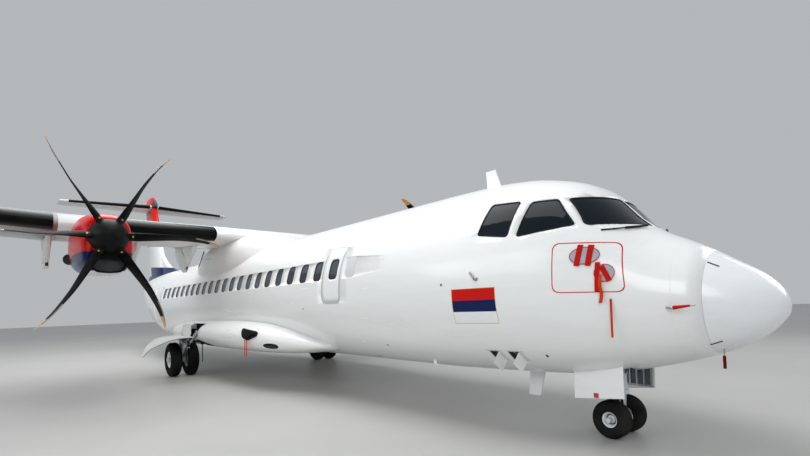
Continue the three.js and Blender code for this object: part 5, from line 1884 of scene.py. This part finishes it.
def tube_with_collars(place, low, high, radius, collars):
    """Upright tube with a thicker band at each collar: height from, to and radius."""
    profile = [(0, low), (radius, low)]
    for start, end, wide in collars:
        profile += [(radius, start), (wide - 0.003, start), (wide, start + 0.004)]
        profile += [(wide, end - 0.004), (wide - 0.003, end), (radius, end)]
    return revolve(profile + [(radius, high), (0, high)], 40, place, "Z")


COLLARS = [(0.561, 0.610, 0.066), (0.735, 0.785, 0.066), (1.010, 1.090, 0.064)]
nose_tube = tube_with_collars((leg_at, 0, 0), 0.560, leg_top, 0.058, COLLARS)
CROSS = {"z": 1.05, "half": 0.25, "radius": 0.036, "end_from": 0.225, "end_radius": 0.048}
c = CROSS
cross_tube = rod((leg_at, -c["half"], c["z"]), (leg_at, c["half"], c["z"]), c["radius"], 28)
cross_ends = []
for sign in (-1, 1):
    ends = [(leg_at, sign * c[key], c["z"]) for key in ("end_from", "half")]
    cross_ends.append(rod(*ends, c["end_radius"], 28))
BRACE = {"back": 0.03, "low": 0.775, "high": 1.01, "radius": 0.024}
brace_ends = (leg_at - BRACE["back"], 0, BRACE["low"]), (bay_rear, 0, BRACE["high"])
drag_brace = rod(*brace_ends, BRACE["radius"], 20)
EYE_AT, EYE_HALF = (leg_at - 0.065, 0.785), 0.03
brace_eye = rod((EYE_AT[0], -EYE_HALF, EYE_AT[1]), (EYE_AT[0], EYE_HALF, EYE_AT[1]), 0.034, 24)
piece(
    "nose_leg_tube", [nose_tube, cross_tube, *cross_ends, drag_brace, brace_eye], leg_grey,
    slot="gear_paint", sharp=40, replaces=("nose_leg",),
)
HOSE_RUN = [(0.05, 1.12), (0.075, 0.95), (0.066, 0.75)]
HOSE_RADIUS, BRAKE_HOSE_RADIUS = 0.007, 0.009
hoses = [hose([(leg_at + x, y, z) for x, z in HOSE_RUN], HOSE_RADIUS) for y in (-0.03, 0.03)]
piece("nose_leg_hoses", hoses, cover_black, slot="gear_paint")
print("nose leg", round(leg_top - 0.560, 3), "m long")

# %% Steered fork with piston, axle, tow lug and torque links
axle_at, hub = X(NOSE_GEAR["station"]), NOSE_GEAR["radius"]
reach = NOSE_GEAR["side"] + NOSE_GEAR["width"] / 2 + 0.012
swivel = tube_with_collars((leg_at, 0, 0), 0.500, 0.5597, 0.070, [(0.503, 0.556, 0.078)])
axle = rod((axle_at, -reach, hub), (axle_at, reach, hub), NOSE_GEAR["axle"] - 0.0003, 40)
collar = (hub - 0.040, hub + 0.040, 0.052)
knuckle = tube_with_collars((leg_at - 0.012, 0, 0), hub - 0.042, hub + 0.075, 0.046, [collar])
LUG_HALF = 0.030
lug_low = (leg_at + LUG_HALF, -LUG_HALF, hub - LUG_HALF)
lug = block(lug_low, (leg_at + 0.095, LUG_HALF, hub + LUG_HALF), 0.006)
TORQUE_LINKS = [
    [(1.730, 0.556), (1.860, 0.440), (1.872, 0.400), (1.830, 0.404), (1.730, 0.480)],
    [(1.860, 0.446), (1.872, 0.400), (1.762, 0.250), (1.730, 0.250), (1.730, 0.310), (1.830, 0.412)],
]
LINK_HALF, PIN_HALF, PIN_AT = 0.024, 0.034, (X(1.850), 0.421)
links = [plate(corners, -LINK_HALF, LINK_HALF, 0.005) for corners in TORQUE_LINKS]
link_pin = rod((PIN_AT[0], -PIN_HALF, PIN_AT[1]), (PIN_AT[0], PIN_HALF, PIN_AT[1]), 0.016, 20)
piece(
    "nose_fork_casting", [swivel, axle, knuckle, lug, *links, link_pin], leg_grey, "nose_steering",
    slot="gear_paint", sharp=40, replaces=("nose_fork",),
)
nose_piston = rod((leg_at, 0, hub), (leg_at, 0, 0.510), 0.040, 40)
piece("nose_piston", [nose_piston], polished_steel, "nose_steering", slot="gear_paint")
print("nose axle", round(2 * reach, 3), "m long")

# %% Nose gear doors
NOSE_DOOR = {
    "from": 1.480, "to": 2.090, "side": 0.420, "thick": 0.018, "front_low": 0.527, "rear_low": 0.466
}
d = NOSE_DOOR
top_edge = spaced(d["to"], d["from"], 8)
door_outline = [(d["from"], d["front_low"]), (d["to"], d["rear_low"])]
door_outline += [(station, below(station, d["side"] + d["thick"]).z) for station in top_edge]
door_plate = plate(door_outline, d["side"], d["side"] + d["thick"], 0.004)
pair("nose_gear_door_skin", [door_plate], body_white, replaces=("nose_gear_door_left",), sharp=40)

# Inner side: epoxy primer on the pan, and bare pressed ribs and rails over it
primer = gloss_paint("zinc_primer_grey", "56626a", roughness=0.55, grime=0.3, wave=0.0006)
rib_alloy = bare_metal("pressed_alloy_rib", "c3c6c9", 0.38)
inside, rib_deep, rib_half, pan_low = d["side"] - 0.002, 0.024, 0.011, d["front_low"]
rear, front = X(d["to"]), X(d["from"])
pan = block((rear + 0.03, inside - 0.001, pan_low + 0.03), (front - 0.03, inside + 0.003, 0.78))
ribs = []
for k in range(7):
    middle = X(1.515 + 0.090 * k)
    low = (middle - rib_half, inside - rib_deep, pan_low + 0.022)
    ribs.append(block(low, (middle + rib_half, inside, 0.785), 0.002))
rails = []
for z in (pan_low + 0.012, 0.765):
    low = (rear + 0.020, inside - rib_deep * 0.8, z)
    rails.append(block(low, (front - 0.020, inside, z + 0.022), 0.002))
pair("nose_gear_door_pan", [pan], primer, slot="gear_paint")
pair("nose_gear_door_ribs", ribs + rails, rib_alloy, slot="gear_paint")
MARKER = {"rear": 1.842, "front": 1.780, "low": 0.500, "high": 0.556, "in": -0.437, "out": -0.4395}
n = MARKER
marker = block((X(n["rear"]), n["out"], n["low"]), (X(n["front"]), n["in"], n["high"]))
piece("nose_door_marker", [marker], outline_red)
print("ribs on a nose door", len(ribs))

# %% [markdown]
# ## Main legs and their doors
# Each main leg comes out of the fairing as a beam and stands between its two wheels. A trailing arm
# holds the axle, and a chromed shock absorber in front of it takes the load. Brake packs fill the
# hollow side of the rims, with hoses down to them. A curved door hangs over the wheels as it does
# on the parked aircraft.

# %% Main leg
g = MAIN_GEAR
main_at, hub = X(g["station"]), g["radius"]
BEAM = {"top": 0.990, "bottom": 0.885, "width": 0.150}
reach = g["spread"] + g["width"] / 2 + 0.014
axle = rod((main_at, g["side"] - reach, hub), (main_at, g["side"] + reach, hub), g["axle"] - 0.0003, 48)
half = BEAM["width"] / 2
beam_end = (main_at + half, g["side"] + 0.070, BEAM["top"])
beam = block((main_at - half, 1.10, BEAM["bottom"]), beam_end, 0.014)
COLLARS = [(0.500, 0.560, 0.060), (0.800, 0.884, 0.062)]
post = tube_with_collars((main_at, g["side"], 0), hub, BEAM["bottom"] + 0.05, 0.052, COLLARS)
ARM_SIDE = [
    (12.600, 0.430), (12.560, 0.350), (12.470, 0.360), (12.160, 0.690),
    (12.130, 0.790), (12.190, 0.850), (12.280, 0.820), (12.570, 0.520),
]
ARM_HALF, HANGER_HALF = 0.060, 0.052
arm = plate(ARM_SIDE, g["side"] - ARM_HALF, g["side"] + ARM_HALF, 0.014)
HANGER = [(12.140, 0.800), (12.200, 0.760), (12.560, 0.880), (12.560, 0.960), (12.400, 0.960)]
hanger = plate(HANGER, g["side"] - HANGER_HALF, g["side"] + HANGER_HALF, 0.010)
pair(
    "main_leg_casting", [axle, beam, post, arm, hanger], leg_grey, slot="gear_paint", sharp=40,
    replaces=("main_leg_left",),
)
print("main axle", round(2 * reach, 3), "m long")

# %% Shock absorber, brakes and hoses
SHOCK = {"top": (12.040, 1.800, 1.140), "seal": (12.105, 1.955, 0.870), "foot": (12.170, 2.050, 0.700)}
top, seal, foot = (Vector((X(s), y, z)) for s, y, z in SHOCK.values())
cylinder = [
    rod(start, end, radius, 32)
    for start, end, radius in (
        (top, seal, 0.046),
        (seal.lerp(top, 0.12), seal, 0.056),
        (top, top.lerp(seal, 0.1), 0.056),
    )
]
eye = rod((foot.x, g["side"] - 0.050, foot.z), (foot.x, g["side"] + 0.050, foot.z), 0.040, 28)
pair("shock_cylinder", [*cylinder, eye], cast_alloy, slot="gear_paint", sharp=40)
pair("shock_piston", [rod(seal, foot, 0.033, 32)], polished_steel, slot="gear_paint")

# Brake discs: near side and far side from the wheel's middle, and radius
DISCS = ((0.086, 0.096, 0.150), (0.099, 0.109, 0.150), (0.112, 0.124, 0.138))
packs = []
for sign in (-1, 1):
    wheel_y = g["side"] + sign * g["spread"]
    for near_edge, far_edge, radius in DISCS:
        ends = [(main_at, wheel_y - sign * edge, hub) for edge in (near_edge, far_edge)]
        packs.append(rod(*ends, radius, 40))
    head = Vector((0, -sign * 0.020, 0))
    place = (main_at, wheel_y - sign * 0.122, hub)
    packs += ring_of(lambda p, head=head: rod(p, p + head, 0.020, 16), 6, 0.100, place, 0.3)
pair("brake_packs", packs, cast_alloy, slot="gear_paint", sharp=40)

brake_hoses, clamps = [], []
for k in range(3):
    run = [
        (12.02, 1.86 + 0.04 * k, 1.13),
        (12.06, 1.91 + 0.04 * k, 0.95),
        (12.12, 2.00 + 0.03 * k, 0.72),
        (12.25, 2.02 + 0.03 * k, 0.56),
        (12.36, 2.00 + 0.05 * k, 0.47),
    ]
    brake_hoses.append(hose([(X(station), y, z) for station, y, z in run], BRAKE_HOSE_RADIUS))
    x, y = X(12.098), 1.985 + 0.03 * k
    clamps.append(rod((x, y, 0.75), (x, y, 0.72), 0.013, 12))
pair("brake_hoses", brake_hoses, cover_black, slot="gear_paint")
pair("hose_clamps", clamps, rib_alloy, slot="gear_paint")

# %% Main gear doors
MAIN_DOOR = {"from": 11.870, "to": 13.130, "thick": 0.026}
DOOR_LINE = [
    (1.960, 0.9903), (2.130, 0.9903), (2.360, 0.970), (2.600, 0.905), (2.880, 0.780), (3.060, 0.600)
]
DOOR_TAPER, DOOR_LEAN = 0.45, 0.3


def door_ring(station, low, high):
    """Section of the curved door between two heights over its line, shorter towards the rear."""
    line = [Vector(p) for p in smooth(DOOR_LINE, 5)]
    share = (station - MAIN_DOOR["from"]) / (MAIN_DOOR["to"] - MAIN_DOOR["from"])
    shorter = []
    for k in range(len(line)):
        place = k * (1 - DOOR_TAPER * share)
        whole = min(int(place), len(line) - 2)
        shorter.append(line[whole].lerp(line[whole + 1], place - whole))
    levels = [(low, p) for p in shorter] + [(high, p) for p in reversed(shorter)]
    return [(X(station), p.x + level * DOOR_LEAN, p.y + level) for level, p in levels]


m = MAIN_DOOR
door_stations = spaced(m["from"], m["to"], 8)
shell = loft([door_ring(station, 0.004, m["thick"]) for station in door_stations])
pair("main_gear_door_shell", [shell], fairing_white, replaces=("main_gear_door_left",), sharp=40)
inner_stations = [m["from"] + 0.012, *door_stations[1:-1], m["to"] - 0.012]
lining = loft([door_ring(station, 0, 0.0045) for station in inner_stations])
pair("main_gear_door_lining", [lining], primer, slot="gear_paint", sharp=40)
seals = [
    loft([door_ring(station, -0.006, 0.004) for station in (start, start + 0.020)])
    for start in (m["from"] + 0.002, m["to"] - 0.022)
]
pair("main_gear_door_seals", seals, seal_black, slot="gear_paint", sharp=40)
print("main door", round(m["to"] - m["from"], 3), "m long")

# %% [markdown]
# ## Markings, covers and probes
# The aircraft is parked and made safe: soft covers sit on the vents and probes, with straps and
# bright streamers on them. Markings are thin films of paint. Aerials, vanes and probes are small
# castings screwed to the skin. Everything here lies on the body's own formula.


# %% Woven cloth, and shapes that lie on the skin
# The width of a faded patch is given. Real threads are too fine to show, so they are drawn
# 2 mm apart. A wave texture of scale 1 has a line every pi / 10 metres.
FADE_MM, THREAD_MM = 111.1, 1.9635


def woven(name, hex_value):
    """Woven nylon: dull, a little faded, with a fine cross weave."""
    material, tree, shader, place = new_material(name)
    fade = add(tree, "ShaderNodeTexNoise", {"Vector": place, "Scale": per_metre(FADE_MM), "Detail": 4.0})
    base = colour(hex_value)
    tones = {0: fade.outputs["Fac"], "A": base, "B": (*[c * 0.6 for c in base[:3]], 1)}
    mixed = add(tree, "ShaderNodeMix", tones, data_type="RGBA")
    threads = []
    for way in "XZ":
        wave = {"Vector": place, "Scale": per_metre(THREAD_MM) * math.pi / 10}
        threads.append(add(tree, "ShaderNodeTexWave", wave, bands_direction=way).outputs["Fac"])
    weave = add(tree, "ShaderNodeMath", dict(enumerate(threads)), operation="MAXIMUM")
    bump = add(tree, "ShaderNodeBump", {"Height": weave.outputs[0], "Distance": 0.0004})
    surface = {
        "Base Color": mixed.outputs["Result"],
        "Normal": bump.outputs[0],
        "Roughness": 0.85,
        "Specular IOR Level": 0.12,
    }
    feed(tree, shader, surface)
    return material


def disc(centre, wide, tall, count=18):
    """Corners of an oval round a centre."""
    spots = [(wide * math.cos(a), tall * math.sin(a)) for a in full_turn(count)]
    return [(centre[0] + across, centre[1] + rise) for across, rise in spots]


def strip(start, end, wide):
    """Corners of a straight strip of a width between two points."""
    start, end = Vector(start), Vector(end)
    along = (end - start).normalized()
    across = Vector((-along.y, along.x)) * wide / 2
    return [start + across, end + across, end - across, start - across]


def streamer(points, wide, thick=0.003):
    """Ribbon that hangs through points, flat to the side."""
    half, rings = wide / 2, []
    for spot in smooth(points):
        corners = ((-half, 0), (half, 0), (half, thick), (-half, thick))
        rings.append([spot + Vector((dx, dy, 0)) for dx, dy in corners])
    return loft(rings)


def off_skin(station, z, out, find=starboard):
    spot = find(station, z)
    return spot + body_normal(spot) * out


strap_red = woven("strap_webbing_red", "cf1d14")
streamer_red = woven("streamer_nylon_orange_red", "d9421c")
cover_cloth = woven("cover_cloth_silver", "bcbfca")
print("cloths", strap_red.name, streamer_red.name, cover_cloth.name)

# %% Covers on two vents, inside a red outline
VENT_PANEL = [(1.891, 2.269), (1.270, 2.235), (1.205, 1.716), (1.899, 1.732)]
OVAL_COVER, ROUND_COVER = disc((1.579, 2.111), 0.140, 0.090), disc((1.393, 1.917), 0.092, 0.090)
panel_line = band(VENT_PANEL, starboard, -0.001, 0.0008, 0.08, -0.005, 0.005)
piece("vent_panel_outline", [panel_line], red_gloss)
COVER_LOW, COVER_TOP, HEM_TOP, COVER_CORNER = -0.001, 0.010, 0.012, 0.01
pads, hems = [], []
for corners in (OVAL_COVER, ROUND_COVER):
    pads.append(patch(corners, starboard, COVER_LOW, COVER_TOP, COVER_CORNER))
    hems.append(band(corners, starboard, COVER_LOW, HEM_TOP, COVER_CORNER, -0.004, 0.003))
piece("vent_covers", pads, cover_cloth)
piece("vent_cover_hems", hems, strap_red)
# Straps: start, end, width, lowest and highest level over the skin
STRAPS = [
    ((1.614, 2.228), (1.648, 2.004), 0.055, 0.009, 0.014),
    ((1.518, 2.220), (1.541, 2.000), 0.055, 0.009, 0.014),
    ((1.420, 1.991), (1.342, 1.830), 0.050, 0.009, 0.014),
    ((1.452, 2.030), (1.458, 1.726), 0.046, 0.013, 0.018),
]
straps = [patch(strip(a, b, wide), starboard, low, high, 0.006) for a, b, wide, low, high in STRAPS]
piece("vent_straps", straps, strap_red)
hang = [(1.428, 1.900, 0.022), (1.432, 1.800, 0.030), (1.418, 1.700, 0.034), (1.432, 1.610, 0.040)]
cover_ribbon = streamer([off_skin(*row) for row in hang], 0.038)
plug_at = off_skin(1.336, 1.640, 0.0)
pin = rod(plug_at, plug_at + Vector((0, -0.018, 0)), 0.009, 16)
drop = [plug_at + Vector((0, -0.012, z)) for z in (0.0, -0.10, -0.25, -0.39)]
piece("vent_streamers", [cover_ribbon, pin, streamer(drop, 0.024)], streamer_red)
print("vent covers", len(pads), "with straps", len(straps))

# %% Tricolour flag with a thin gold edge
FLAG = {"rear": ((3.176, 1.818), (3.199, 1.402)), "front": ((2.565, 1.821), (2.573, 1.404))}


def flag_row(low, high):
    """Corners of a stripe between two shares of the height, counted from the top."""
    (rear_top, rear_foot), (front_top, front_foot) = (map(Vector, FLAG[key]) for key in ("rear", "front"))
    return [
        rear_top.lerp(rear_foot, low), front_top.lerp(front_foot, low),
        front_top.lerp(front_foot, high), rear_top.lerp(rear_foot, high),
    ]


for number, material in enumerate((red_gloss, blue_gloss, radome_white)):
    stripe = patch(flag_row(number / 3, (number + 1) / 3), port, -0.001, 0.0006, 0.0005, rings=3)
    pair(f"flag_stripe_{number}", [stripe], material)
pair("flag_edge", [band(flag_row(0, 1), port, -0.001, 0.0008, 0.0005, 0, 0.006)], flag_gold)

# %% Small doors that stand open on the lower starboard side, with painted shade in their recesses
LEAF_SWING, LEAF_REACH, LEAF_THICK = Vector((-0.30, 0, -0.35)), 0.155, 0.003
small_doors, small_recess_shade = [], []
for rear, front in SMALL_DOORS:
    top, low = (off_skin(front, z, 0.001) for z in (SMALL_DOOR_TOP, SMALL_DOOR_LOW))
    swing = (body_normal(top) + LEAF_SWING).normalized() * LEAF_REACH
    sheet = Vector((LEAF_THICK, 0, 0))
    small_doors.append(loft([[p, p + sheet, p + sheet + swing, p + swing] for p in (top, low)]))
    corners = rectangle(front, rear, SMALL_DOOR_LOW, SMALL_DOOR_TOP)
    # The floor and walls of each recess are dark grey as painted shade, and a round boss of the same dark
    # grey stands on the floor
    small_recess_shade.append(patch(corners, starboard, -0.066, -SMALL_RECESS, SMALL_CORNER, 0.006))
    small_recess_shade.append(band(corners, starboard, -0.064, -0.002, SMALL_CORNER, -0.004, 0.002))
    middle = off_skin((rear + front) / 2, (SMALL_DOOR_TOP + SMALL_DOOR_LOW) / 2, -0.061)
    small_recess_shade.append(rod(middle, middle + body_normal(middle) * 0.030, 0.030, 24))
piece("small_door_leaves", small_doors, body_white)
piece("small_door_recess_shade", small_recess_shade, dark_grey_and_painted_shade)
print("small doors", len(small_doors))

# %% Aerials, vane, probes and static ports
# Aerials stand on the centreline: corners of station and height
AERIAL_TOP = [(3.380, 3.250), (3.530, 3.670), (3.715, 3.670), (3.690, 3.250)]
AERIAL_LOW = [(2.755, 0.780), (2.870, 0.330), (3.065, 0.330), (3.020, 0.780)]
AERIAL_HALF, STUB_SIDE, STUB_HALF = 0.013, -0.800, 0.008
aerials = [plate(corners, -AERIAL_HALF, AERIAL_HALF, 0.009) for corners in (AERIAL_TOP, AERIAL_LOW)]
foot = below(4.158, 0.800)
STUB = [(4.110, -0.06), (4.130, 0.03), (4.200, 0.03), (4.170, -0.06)]
stub = [(station, foot.z + rise) for station, rise in STUB]
stub = plate(stub, STUB_SIDE - STUB_HALF, STUB_SIDE + STUB_HALF, 0.006)
piece("aerials", [*aerials, stub], radome_white, slot="radome_paint")
# A thin pipe under the wing's inner part lets spilt fuel and water drip clear of the skin
DRAIN_TOP, DRAIN_TIP = (X(11.200), 1.880, 3.110), (X(11.260), 1.990, 2.720)
drain = rod(DRAIN_TOP, DRAIN_TIP, 0.015, 12, 0.009)
pair("drain_mast", [drain], dark_grey_and_painted_shade, slot="wing_paint")

PROBE_OUT = 0.056
# Pressure tube: its mast leaves the skin, and the tube points forward
mast_foot, elbow = off_skin(0.872, 1.543, -0.004, port), off_skin(0.850, 1.546, PROBE_OUT, port)
front = Vector((X(0.600), elbow.y, 1.566))
pitot = [rod(mast_foot, elbow, 0.013, 16, 0.011), rod(elbow, front, 0.011, 20, 0.006)]
vane_at = off_skin(2.809, 1.934, 0.0, port)
vane_axis = rod(vane_at - Vector((0, 0.004, 0)), vane_at + Vector((0, 0.030, 0)), 0.030, 28, 0.012)
VANE = [(2.797, 1.938), (2.880, 2.028), (2.896, 2.014), (2.819, 1.920)]
vane = plate(VANE, vane_at.y + 0.022, vane_at.y + 0.030, 0.001)
pair("air_probes", [*pitot, vane_axis, vane], cast_alloy, slot="gear_paint")
sleeve_from, sleeve_to = elbow.lerp(front, 0.12), elbow.lerp(front, 0.80)
pair("pitot_cover", [rod(sleeve_from, sleeve_to, 0.020, 20, 0.010)], strap_red)

# Small dark discs: station and height
PORTS = [(2.163, 1.008), (3.349, 1.889), (4.891, 1.036), (5.606, 0.790), (7.060, 1.634)]
ports = [patch(disc(spot, 0.017, 0.017, 12), port, -0.001, 0.0012, 0.004, rings=1) for spot in PORTS]
# Thin strips beside the radome's seam: their ends
STRIPS = [((0.587, 1.980), (0.495, 1.932)), ((0.608, 1.163), (0.504, 1.201))]
ports += [patch(strip(*ends, 0.010), port, -0.001, 0.002, 0.002, rings=2) for ends in STRIPS]
pair("static_ports", ports, dark_grey_and_painted_shade)
TAG_AT = (X(0.531), -0.226)
tag_cord = rod((*TAG_AT, 1.112), (*TAG_AT, 1.040), 0.003, 8)
tag = streamer([(*TAG_AT, z) for z in (1.045, 0.980, 0.915)], 0.030)
piece("radome_tag", [tag_cord, tag], woven("tag_webbing_dark_red", "6d1013"))
print("small discs and strips on a side", len(ports))

# %% Wipers
def wiper_spot(y, z, out=0.022):
    spot = ahead(y, z)
    return spot + body_normal(spot) * out


pivot = wiper_spot(0.818, 2.385, 0.004)
joint_at, tip = wiper_spot(0.592, 2.394), wiper_spot(0.270, 2.430)
arms = [rod(pivot, joint_at, 0.010, 12, 0.007), rod(joint_at, tip, 0.014, 12, 0.010)]
pair("wiper_arm", arms, cover_black, slot="gear_paint")
print("wiper", round((tip - pivot).length, 3), "m long")

# %% Scoop cover, lamp glass and the black room in the side of the gear fairing
def fairing_values(station):
    outer, top, bottom = read(GEAR_FAIRING, station)
    return (outer - GEAR_FAIRING_ROOT) / 2, (top - bottom) / 2, (top + bottom) / 2


def fairing_skin(station, z):
    """Finds the outer side of the port gear fairing."""
    width, tall, middle = fairing_values(station)
    share = max(0.0, 1 - abs((z - middle) / tall) ** FAIRING_POWER)
    return Vector((X(station), GEAR_FAIRING_ROOT + width * (1 + share ** (1 / FAIRING_POWER)), z))


def fairing_level(p):
    width, tall, middle = fairing_values(LENGTH / 2 - p.x)
    across = abs((p.y - GEAR_FAIRING_ROOT - width) / width)
    return across**FAIRING_POWER + abs((p.z - middle) / tall) ** FAIRING_POWER - 1


fairing_normal = normal_of(fairing_level)


def on_fairing(corners, low, high, radius=0.02, grow=0.0, rings=4):
    return patch(corners, fairing_skin, low, high, radius, grow, rings, fairing_normal)


SCOOP_COVER = [(9.141, 1.250), (8.500, 1.187), (8.460, 1.110), (8.758, 1.016), (8.950, 1.070)]
bag = [on_fairing(SCOOP_COVER, -0.002, 0.025, 0.06), on_fairing(SCOOP_COVER, 0.02, 0.055, 0.05, -0.05)]
pair("scoop_cover", bag, cover_black)
hem = fairing_skin(8.770, 1.030)
tails = []
for dx in (-0.060, 0.045):
    run = [hem + Vector((dx, 0.040 + 0.02 * dx, z)) for z in (0.0, -0.16, -0.33)]
    tails.append(streamer(run, 0.040))
pair("scoop_streamers", tails, streamer_red)
LAMP = disc((8.080, 0.915), 0.215, 0.042)
pair("taxi_lamp_glass", [on_fairing(LAMP, -0.002, 0.0015, 0.01)], glass_dark, slot="cockpit_glass")
pair("taxi_lamp_rim", [on_fairing(LAMP, -0.002, 0.0008, 0.01, 0.014)], seal_black)

# %% Painted shade lining the main gear's room
b, r, wall, edge = GEAR_BAY, SIDE_ROOM, 0.004, 1.760
rear, front, inner, roof = X(b["to"]) + wall, X(b["from"]) - wall, b["inner"], b["roof"]
side_low = (X(r["to"]) + wall, r["inner"] - wall, r["low"] + wall)
# Thin dark sheets over the roof and walls of the room, and along the slanted lower edge in front of it,
# paint the shade that falls there
bay_shade_sheets = [
    block((rear, inner - wall, roof - wall), (front, edge, roof + wall)),
    block((rear, inner - wall, 0.780), (front, inner + wall, roof)),
    block(side_low, (X(r["from"]) - wall, r["inner"] + wall, r["high"] - wall)),
]
LOW_SHADE_SHEET = [(11.948, 0.975), (11.948, 0.780), (10.900, 0.780)]
levels = (r["inner"] - wall, r["inner"] + wall)
bay_shade_sheets.append(loft([[(X(station), y, z) for station, z in LOW_SHADE_SHEET] for y in levels]))
for x in (X(b["from"]), X(b["to"])):
    bay_shade_sheets.append(block((x - wall, inner, 0.800), (x + wall, edge, roof - wall)))
bay_shade_paint = rubber("bay_painted_shade_dark", "0d0e10", 0.8, 6, 0.05)
pair("main_gear_room_painted_shade", bay_shade_sheets, bay_shade_paint)
print("lining plates on a side", len(bay_shade_sheets))

# %% Panel that closes the leg's room from outside, and the earthing rod
# Panel: corners of station and height
LEG_PANEL = [(12.740, 0.996), (12.745, 1.330), (12.070, 1.335), (12.090, 0.996)]
LEG_PANEL_IN, LEG_PANEL_OUT = 1.946, 1.960
leg_panel = plate(LEG_PANEL, LEG_PANEL_IN, LEG_PANEL_OUT, 0.003)
pair("leg_panel", [leg_panel], fairing_white, sharp=40)
ROD_TOP, ROD_TIP, ROD_RADIUS = (X(11.990), 1.706, 0.930), (X(11.990), 1.708, 0.350), 0.012
pair("earthing_rod", [rod(ROD_TOP, ROD_TIP, ROD_RADIUS, 12)], dark_grey_and_painted_shade, slot="gear_paint")
